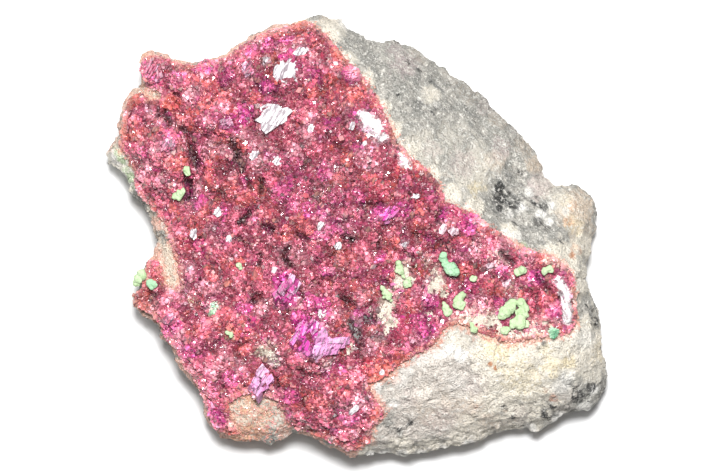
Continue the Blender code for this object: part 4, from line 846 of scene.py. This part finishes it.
def crystals(data, name, shape, count, least, most, seed, wanted, dust=0.0, material=None):
    """A set of crystals over a mesh, where wanted(places, dice) holds, with a share of pale dust in their colour."""
    dice = np.random.default_rng(seed)
    places, normals = spread_over(data, count, dice, -0.15)
    sizes = (least + (most - least) * dice.random(count) ** 1.8) * MM
    keep = wanted(places, dice)
    places, normals, sizes = places[keep], normals[keep], sizes[keep]
    stretch = dice.uniform(0.75, 1.3, (len(sizes), 3))
    places = places + normals * sizes[:, None] * dice.uniform(0.0, 0.35, (len(sizes), 1))
    colours = crystal_colours(places, dice)
    colours[:, :3] += (np.array(DUST) - colours[:, :3]) * dust
    made = copies(name, shape, places, random_turns(normals, dice, 0.5), sizes[:, None] * stretch, colours)
    made.data.materials.append(material or calcite)
    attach(made, "root")


def on_the_crust(places, dice):
    bare = np.max([patches(places, marks, np.zeros(len(places))) for marks in BARE.values()], axis=0)
    open_ground = bare < 0.15 + 0.9 * dice.random(len(places))
    return (clear_of_balls(places, 0.4 * MM) > 0.5) & clear_of_large(places) & open_ground


def beside_the_crust(places, dice):
    """Fewer and fewer crystals on the stone, away from the crust's edge."""
    away = np.array([crust_tree.find_nearest(Vector(p))[3] for p in places])
    window = patches(places, [(258, 414, 26, 0.5), (280, 400, 12, 0.4)], np.zeros(len(places)))
    few = (away < BESIDE * dice.random(len(places)) ** 1.3) | (dice.random(len(places)) < window)
    return few & (places[:, 2] > 4 * MM)


calcite = crystal_material()
whole, tip = rhomb(), rhomb_tip()
crystals(stone.data, "crystals_beside", tip, 95000, 0.25, 0.5, 44, beside_the_crust, dust=0.6)
for name, count, least, most, seed, is_whole in CRYSTAL_SETS:
    crystals(ground.data, name, whole if is_whole else tip, count, least, most, seed, on_the_crust)
tip.free()


# The large crystals: cleavage pieces of calcite, some flat as mirrors and coloured near white, which is partly painted
# reflection, some magenta.
# Each is a stack of uneven plates or of sheared slabs with broken steps, rooted in the crust.
SLAB_COLOURS = {
    # The near-white of the flat plates is partly painted reflection: it stands in for the lamps that these plates
    # mirror.
    "white": (0.54, 0.505, 0.52), "magenta": (0.58, 0.05, 0.33), "orchid": (0.56, 0.20, 0.42),
    "rose": (0.48, 0.11, 0.19), "pale": (0.64, 0.40, 0.45), "mauve": (0.32, 0.075, 0.16),
    "plum": (0.42, 0.03, 0.20),
}
PLATE_CORNERS = 15
BLOCKS = 17
PLATE_DEPTH = 2.0 * MM
SLAB_HALF_DEPTH = 1.3 * MM


def slab(mesh, middle, length, width, depth, turn, tilt):
    """Adds one sheared slab, with its edges a little blunted."""
    block = bmesh.ops.create_cube(mesh, size=2.0)["verts"]
    shear = Matrix(((1, 0.28, 0.35), (0, 1, 0.25), (0, 0, 1)))
    size = Matrix.Diagonal((length, width, depth))
    pose = Matrix.Rotation(math.radians(turn), 3, "Z") @ Matrix.Rotation(math.radians(tilt), 3, "X")
    bmesh.ops.transform(mesh, matrix=(pose @ shear @ size).to_4x4(), verts=block)
    bmesh.ops.translate(mesh, vec=middle, verts=block)
    edges = {e for v in block for e in v.link_edges}
    bmesh.ops.bevel(
        mesh, geom=list(edges), offset=min(length, width) * 0.07, affect="EDGES", segments=1, profile=0.5,
        material=-1,
    )


def broken_plate(mesh, middle, length, width, turn, tilt, dice):
    """Adds one flat cleavage plate with an uneven outline."""
    plate = bmesh.ops.create_cone(
        mesh, cap_ends=True, segments=PLATE_CORNERS, radius1=1.0, radius2=0.94, depth=PLATE_DEPTH
    )["verts"]
    reach = dice.uniform(0.62, 1.15, PLATE_CORNERS)
    for vert in plate:
        corner = round(math.atan2(vert.co.y, vert.co.x) / math.tau * PLATE_CORNERS) % PLATE_CORNERS
        vert.co.x *= length * reach[corner]
        vert.co.y *= width * reach[corner]
    pose = Matrix.Rotation(math.radians(turn), 3, "Z") @ Matrix.Rotation(math.radians(tilt), 3, "X")
    bmesh.ops.transform(mesh, matrix=pose.to_4x4(), verts=plate)
    bmesh.ops.translate(mesh, vec=middle, verts=plate)


def ground_at(x, y, otherwise):
    """The height of the crust's ground at a place, or another height where there is no crust."""
    hit = dropped(ground_tree, x, y)
    return hit.z if hit else otherwise


def large_crystals():
    """All the large crystals in one mesh, each corner with its colour and its roughness."""
    dice = np.random.default_rng(61)
    whole = bmesh.new()
    layer = whole.verts.layers.float_color.new("colour")
    for u, v, length, width, turn, tilt, colour in LARGE_CRYSTALS:
        x, y = at(u, v)
        top = ground_at(x, y, 0.0)
        ahead = Vector((math.cos(math.radians(turn)), math.sin(math.radians(turn)), 0))
        aside = Vector((-ahead.y, ahead.x, 0))
        flat = colour in ("white", "pale")
        for index in range(3 if flat else BLOCKS):
            before = set(whole.verts)
            if flat:
                share = 1.05 - 0.25 * index
                slip = (ahead * dice.uniform(-0.2, 0.2) * length + aside * dice.uniform(-0.2, 0.2) * width) * STEP
                middle = Vector((x, y, top + (0.16 * index - 0.85) * MM)) + slip * (index > 0)
                broken_plate(
                    whole, middle, length * STEP * share, width * STEP * share, turn + dice.uniform(-9, 9),
                    tilt * 0.6 + dice.uniform(-2, 2), dice,
                )
            else:
                slip = ahead * dice.uniform(-0.7, 0.7) * length + aside * dice.uniform(-0.75, 0.75) * width
                middle = Vector((x, y, -dice.uniform(0.5, 0.9) * MM)) + slip * STEP
                middle.z += min(ground_at(middle.x, middle.y, top), top + 0.2 * MM)
                slab(
                    whole, middle, length * STEP * dice.uniform(0.2, 0.42), width * STEP * dice.uniform(0.16, 0.36),
                    SLAB_HALF_DEPTH, turn + dice.uniform(-24, 24), tilt * 0.5 + dice.uniform(-28, 28),
                )
            shade = np.array(SLAB_COLOURS[colour]) * dice.uniform(0.75, 1.15)
            if not flat and dice.random() < 0.3:
                shade += (np.array((0.72, 0.42, 0.60)) - shade) * dice.uniform(0.2, 0.9)
            for vert in set(whole.verts) - before:
                vert[layer] = (*np.clip(shade, 0, 0.9), dice.uniform(0.2, 0.7))
    return finished(whole, "large_crystals", smooth=False)


def cleavage_material():
    """Calcite with the fine parallel scratches of its cleavage."""
    made, tree, shader = new_material("calcite_cleavage", 0.45, IOR=1.55)
    own = placed(tree, "Attribute", {"attribute_name": "colour"})
    place = placed(tree, "TexCoord").outputs["Object"]
    along = placed(
        tree, "Mapping", {"vector_type": "TEXTURE"}, Vector=place, Rotation=(0, 0, math.radians(60)), Scale=(5, 1, 2)
    )
    lines = placed(tree, "TexNoise", Vector=along.outputs[0], Scale=2400.0, Detail=3.0, Roughness=0.7)
    grain = grain_of(tree, 2200.0)
    scratch = ramp(tree, lines.outputs["Fac"], 0.49, 0.55, 0.0, 0.8)
    colour = blended(tree, scratch, own.outputs["Color"], (0.07, 0.03, 0.05, 1))
    colour = blended(tree, ramp(tree, grain.outputs["Grain"], 0.65, 0.95, 0.0, 0.4), colour, (0.60, 0.50, 0.56, 1))
    tree.links.new(colour, shader.inputs["Base Color"])
    tree.links.new(ramp(tree, own.outputs["Alpha"], 0.0, 1.0, 0.35, 0.6), shader.inputs["Roughness"])
    relief(tree, shader, lines.outputs["Fac"], 0.7, 0.0002)
    return made


cleavage = cleavage_material()
crystals(ground.data, "crystals_larger", whole, 450, 0.5, 0.95, 45, on_the_crust, dust=0.25, material=cleavage)
whole.free()
large = large_crystals()
large.data.materials.append(cleavage)
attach(large, "root")


# The kolwezite: pale green crusts of small balls with a dull, lumpy skin, grown together where the
# red crystals stop. Each cluster is a few lobes under one skin, which hides where they meet.
MINT_CLUSTERS = ("kolwezite_upper_pair", "kolwezite_edge_disc")
SKIN = 0.085 * MM


def lobed_cluster(node):
    """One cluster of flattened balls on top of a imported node, under one lumpy skin."""
    packed = tree_of(node)
    mesh = bmesh.new()
    for u, v, radius in BALLS[node]:
        x, y = at(u, v)
        top = (dropped(packed, x, y) or packed.find_nearest(Vector((x, y, 0.03)))[0]).z
        lobe = bmesh.ops.create_icosphere(mesh, subdivisions=3, radius=radius * STEP)["verts"]
        bmesh.ops.scale(mesh, vec=(1, 1, 0.6), verts=lobe)
        bmesh.ops.translate(mesh, vec=(x, y, top - 0.48 * radius * STEP), verts=lobe)
    for vert in mesh.verts:
        vert.co += vert.normal * rough(vert.co, 0.8, 3.0) * 0.26 * MM
    rough_out = finished(mesh, "lobes", smooth=True)
    skin = rough_out.modifiers.new("skin", "REMESH")
    skin.mode = "VOXEL"
    skin.voxel_size = SKIN
    skinned = bmesh.new()
    skinned.from_mesh(rough_out.evaluated_get(bpy.context.evaluated_depsgraph_get()).to_mesh())
    bpy.data.objects.remove(rough_out)
    for _ in range(2):
        bmesh.ops.smooth_vert(
            skinned, verts=skinned.verts, factor=0.5, use_axis_x=True, use_axis_y=True, use_axis_z=True
        )
    skinned.normal_update()
    for vert in skinned.verts:
        vert.co += vert.normal * (rough(vert.co, 0.45, 8.0) * 0.12 + rough(vert.co, 0.2, 4.0) * 0.06) * MM
    return finished(skinned, node + "_dressed", smooth=True)


def kolwezite_material(name, pale, deep):
    made, tree, shader = new_material(name, 0.6, IOR=1.5)
    grain = grain_of(tree, 2400.0)
    colour = blended(tree, grain.outputs["Clumps"], (*deep, 1), (*pale, 1))
    colour = blended(tree, ramp(tree, grain.outputs["Specks"], 0, 1, 0, 0.3), colour, (0.62, 0.70, 0.54, 1))
    colour = blended(tree, ramp(tree, grain.outputs["Grain"], 0.25, 0.0, 0, 0.35), colour, (0.30, 0.36, 0.20, 1))
    tree.links.new(colour, shader.inputs["Base Color"])
    tree.links.new(ramp(tree, grain.outputs["Grain"], 0, 1, 0.5, 0.75), shader.inputs["Roughness"])
    relief(tree, shader, grain.outputs["Grain"], 0.7, 0.00015)
    return made


pale_green = kolwezite_material("kolwezite_pale", (0.455, 0.57, 0.36), (0.33, 0.46, 0.24))
mint_green = kolwezite_material("kolwezite_mint", (0.34, 0.53, 0.345), (0.25, 0.46, 0.27))
for node in (n for n in BALLS if n.startswith("kolwezite")):
    cluster = lobed_cluster(node)
    cluster.data.materials.append(mint_green if node in MINT_CLUSTERS else pale_green)
    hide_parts(node)
    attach(cluster, "root")


# The malachite: a tuft of short silky fibres that stand out from one point, deep green towards the lower right
# and pale towards the upper left, where the lamps stand, which is painted light.
FIBRES = 300


def fibre():
    mesh = bmesh.new()
    bmesh.ops.create_cone(mesh, cap_ends=True, segments=4, radius1=0.10, radius2=0.03, depth=1.0)
    bmesh.ops.translate(mesh, vec=(0, 0, 0.5), verts=mesh.verts)
    bmesh.ops.triangulate(mesh, faces=mesh.faces)
    return mesh


def malachite():
    dice = np.random.default_rng(77)
    low, high = (np.array(corner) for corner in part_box("malachite_tuft"))
    half = (high - low) / 2
    angle = dice.uniform(0, math.tau, FIBRES)
    lift = dice.uniform(0.05, 1.0, FIBRES)
    flat = np.sqrt(1 - lift**2)
    lobes = 0.88 + 0.08 * np.sin(3 * angle + 0.6) + 0.05 * np.sin(7 * angle)
    ways = np.column_stack([np.cos(angle) * flat, np.sin(angle) * flat, lift]) * lobes[:, None]
    ways *= dice.uniform(0.65, 0.98, (FIBRES, 1)) * np.array([half[0], half[1], 1.9 * half[2]])
    roots = np.array([(low + half)[0], (low + half)[1], low[2] + 0.1 * MM]) + ways * (0.3, 0.3, 0.0)
    length = np.linalg.norm(ways, axis=1) * 0.85
    sizes = np.column_stack([length * 0.9, length * 0.9, length])
    # Painted light: fibres that point to the upper left, towards the lamps, are paler, and those that point to the
    # lower right deeper green.
    across = ways[:, 0] / half[0] * 0.7 - ways[:, 1] / half[1] * 0.7
    lit_side_paler = np.clip(0.8 - 0.9 * across[:, None] + dice.normal(0, 0.3, (FIBRES, 1)), 0, 1)
    colours = np.array((0.05, 0.36, 0.18)) * (1 - lit_side_paler) + np.array((0.60, 0.82, 0.64)) * lit_side_paler
    ways /= np.linalg.norm(ways, axis=1)[:, None]
    shape = fibre()
    made = copies("malachite_fibres", shape, roots, random_turns(ways, dice, 0.05), sizes, np.hstack([colours, lit_side_paler]))
    shape.free()
    return made


def malachite_material():
    made, tree, shader = new_material("malachite", 0.38, Coat_Weight=0.2, Coat_Roughness=0.2)
    own = placed(tree, "Attribute", {"attribute_name": "colour"})
    grain = grain_of(tree, 3000.0)
    dark = ramp(tree, grain.outputs["Grain"], 0, 1, 0, 0.12)
    colour = blended(tree, dark, own.outputs["Color"], (0.03, 0.26, 0.14, 1))
    tree.links.new(colour, shader.inputs["Base Color"])
    tree.links.new(ramp(tree, own.outputs["Alpha"], 0, 1, 0.3, 0.5), shader.inputs["Roughness"])
    return made


tuft = malachite()
tuft.data.materials.append(malachite_material())
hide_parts("malachite_tuft")
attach(tuft, "root")


# The stage: a white floor, a soft light from the top of the picture, small bright ones that the
# crystals mirror, and a camera that looks straight down from far away.
FRAME_WIDTH = 708 * STEP
CAMERA_HEIGHT = 1.4
LOOK_AT = at(354, 236)


def floor():
    mesh = bmesh.new()
    bmesh.ops.create_grid(mesh, x_segments=1, y_segments=1, size=3.0)
    bmesh.ops.translate(mesh, vec=(0, 0, -0.00005), verts=mesh.verts)
    made = finished(mesh, "floor", smooth=False)
    white, _, shader = new_material("floor", 0.9)
    shader.inputs["Base Color"].default_value = (0.74, 0.74, 0.74, 1)
    made.data.materials.append(white)
    return made


def area_light(name, place, size, power, aim=(0, 0, 0.02)):
    light = bpy.data.lights.new(name, "AREA")
    light.size = size
    light.energy = power
    made = bpy.data.objects.new(name, light)
    made.location = place
    made.rotation_euler = (Vector(aim) - Vector(place)).to_track_quat("-Z", "Y").to_euler()
    bpy.context.scene.collection.objects.link(made)


floor()
area_light("key", (0.0, 0.165, 0.9), 0.15, 14.7)
area_light("rake", (-0.25, 0.5, 0.6), 0.2, 1.0)
area_light("overhead", (-0.03, 0.11, 1.05), 0.3, 2.6)
SPARKLES = ((-0.35, 0.25, 0.7), (0.4, 0.3, 0.65), (-0.15, 0.55, 0.6), (0.3, -0.2, 0.8), (0.1, 0.15, 0.9))
for index, place in enumerate(SPARKLES):
    area_light(f"sparkle_{index}", place, 0.028, 0.15)

world = bpy.data.worlds.new("studio")
world.use_nodes = True
world.node_tree.nodes["Background"].inputs["Color"].default_value = (1, 1, 1, 1)
world.node_tree.nodes["Background"].inputs["Strength"].default_value = 0.08
bpy.context.scene.world = world
bpy.context.scene.view_settings.view_transform = "Standard"

camera = bpy.data.objects.new("camera", bpy.data.cameras.new("camera"))
camera.data.sensor_width = 36.0
camera.data.lens = 36.0 * CAMERA_HEIGHT / FRAME_WIDTH
camera.data.clip_end = 10.0
camera.location = (*LOOK_AT, CAMERA_HEIGHT + 0.014)
bpy.context.scene.collection.objects.link(camera)
bpy.context.scene.camera = camera
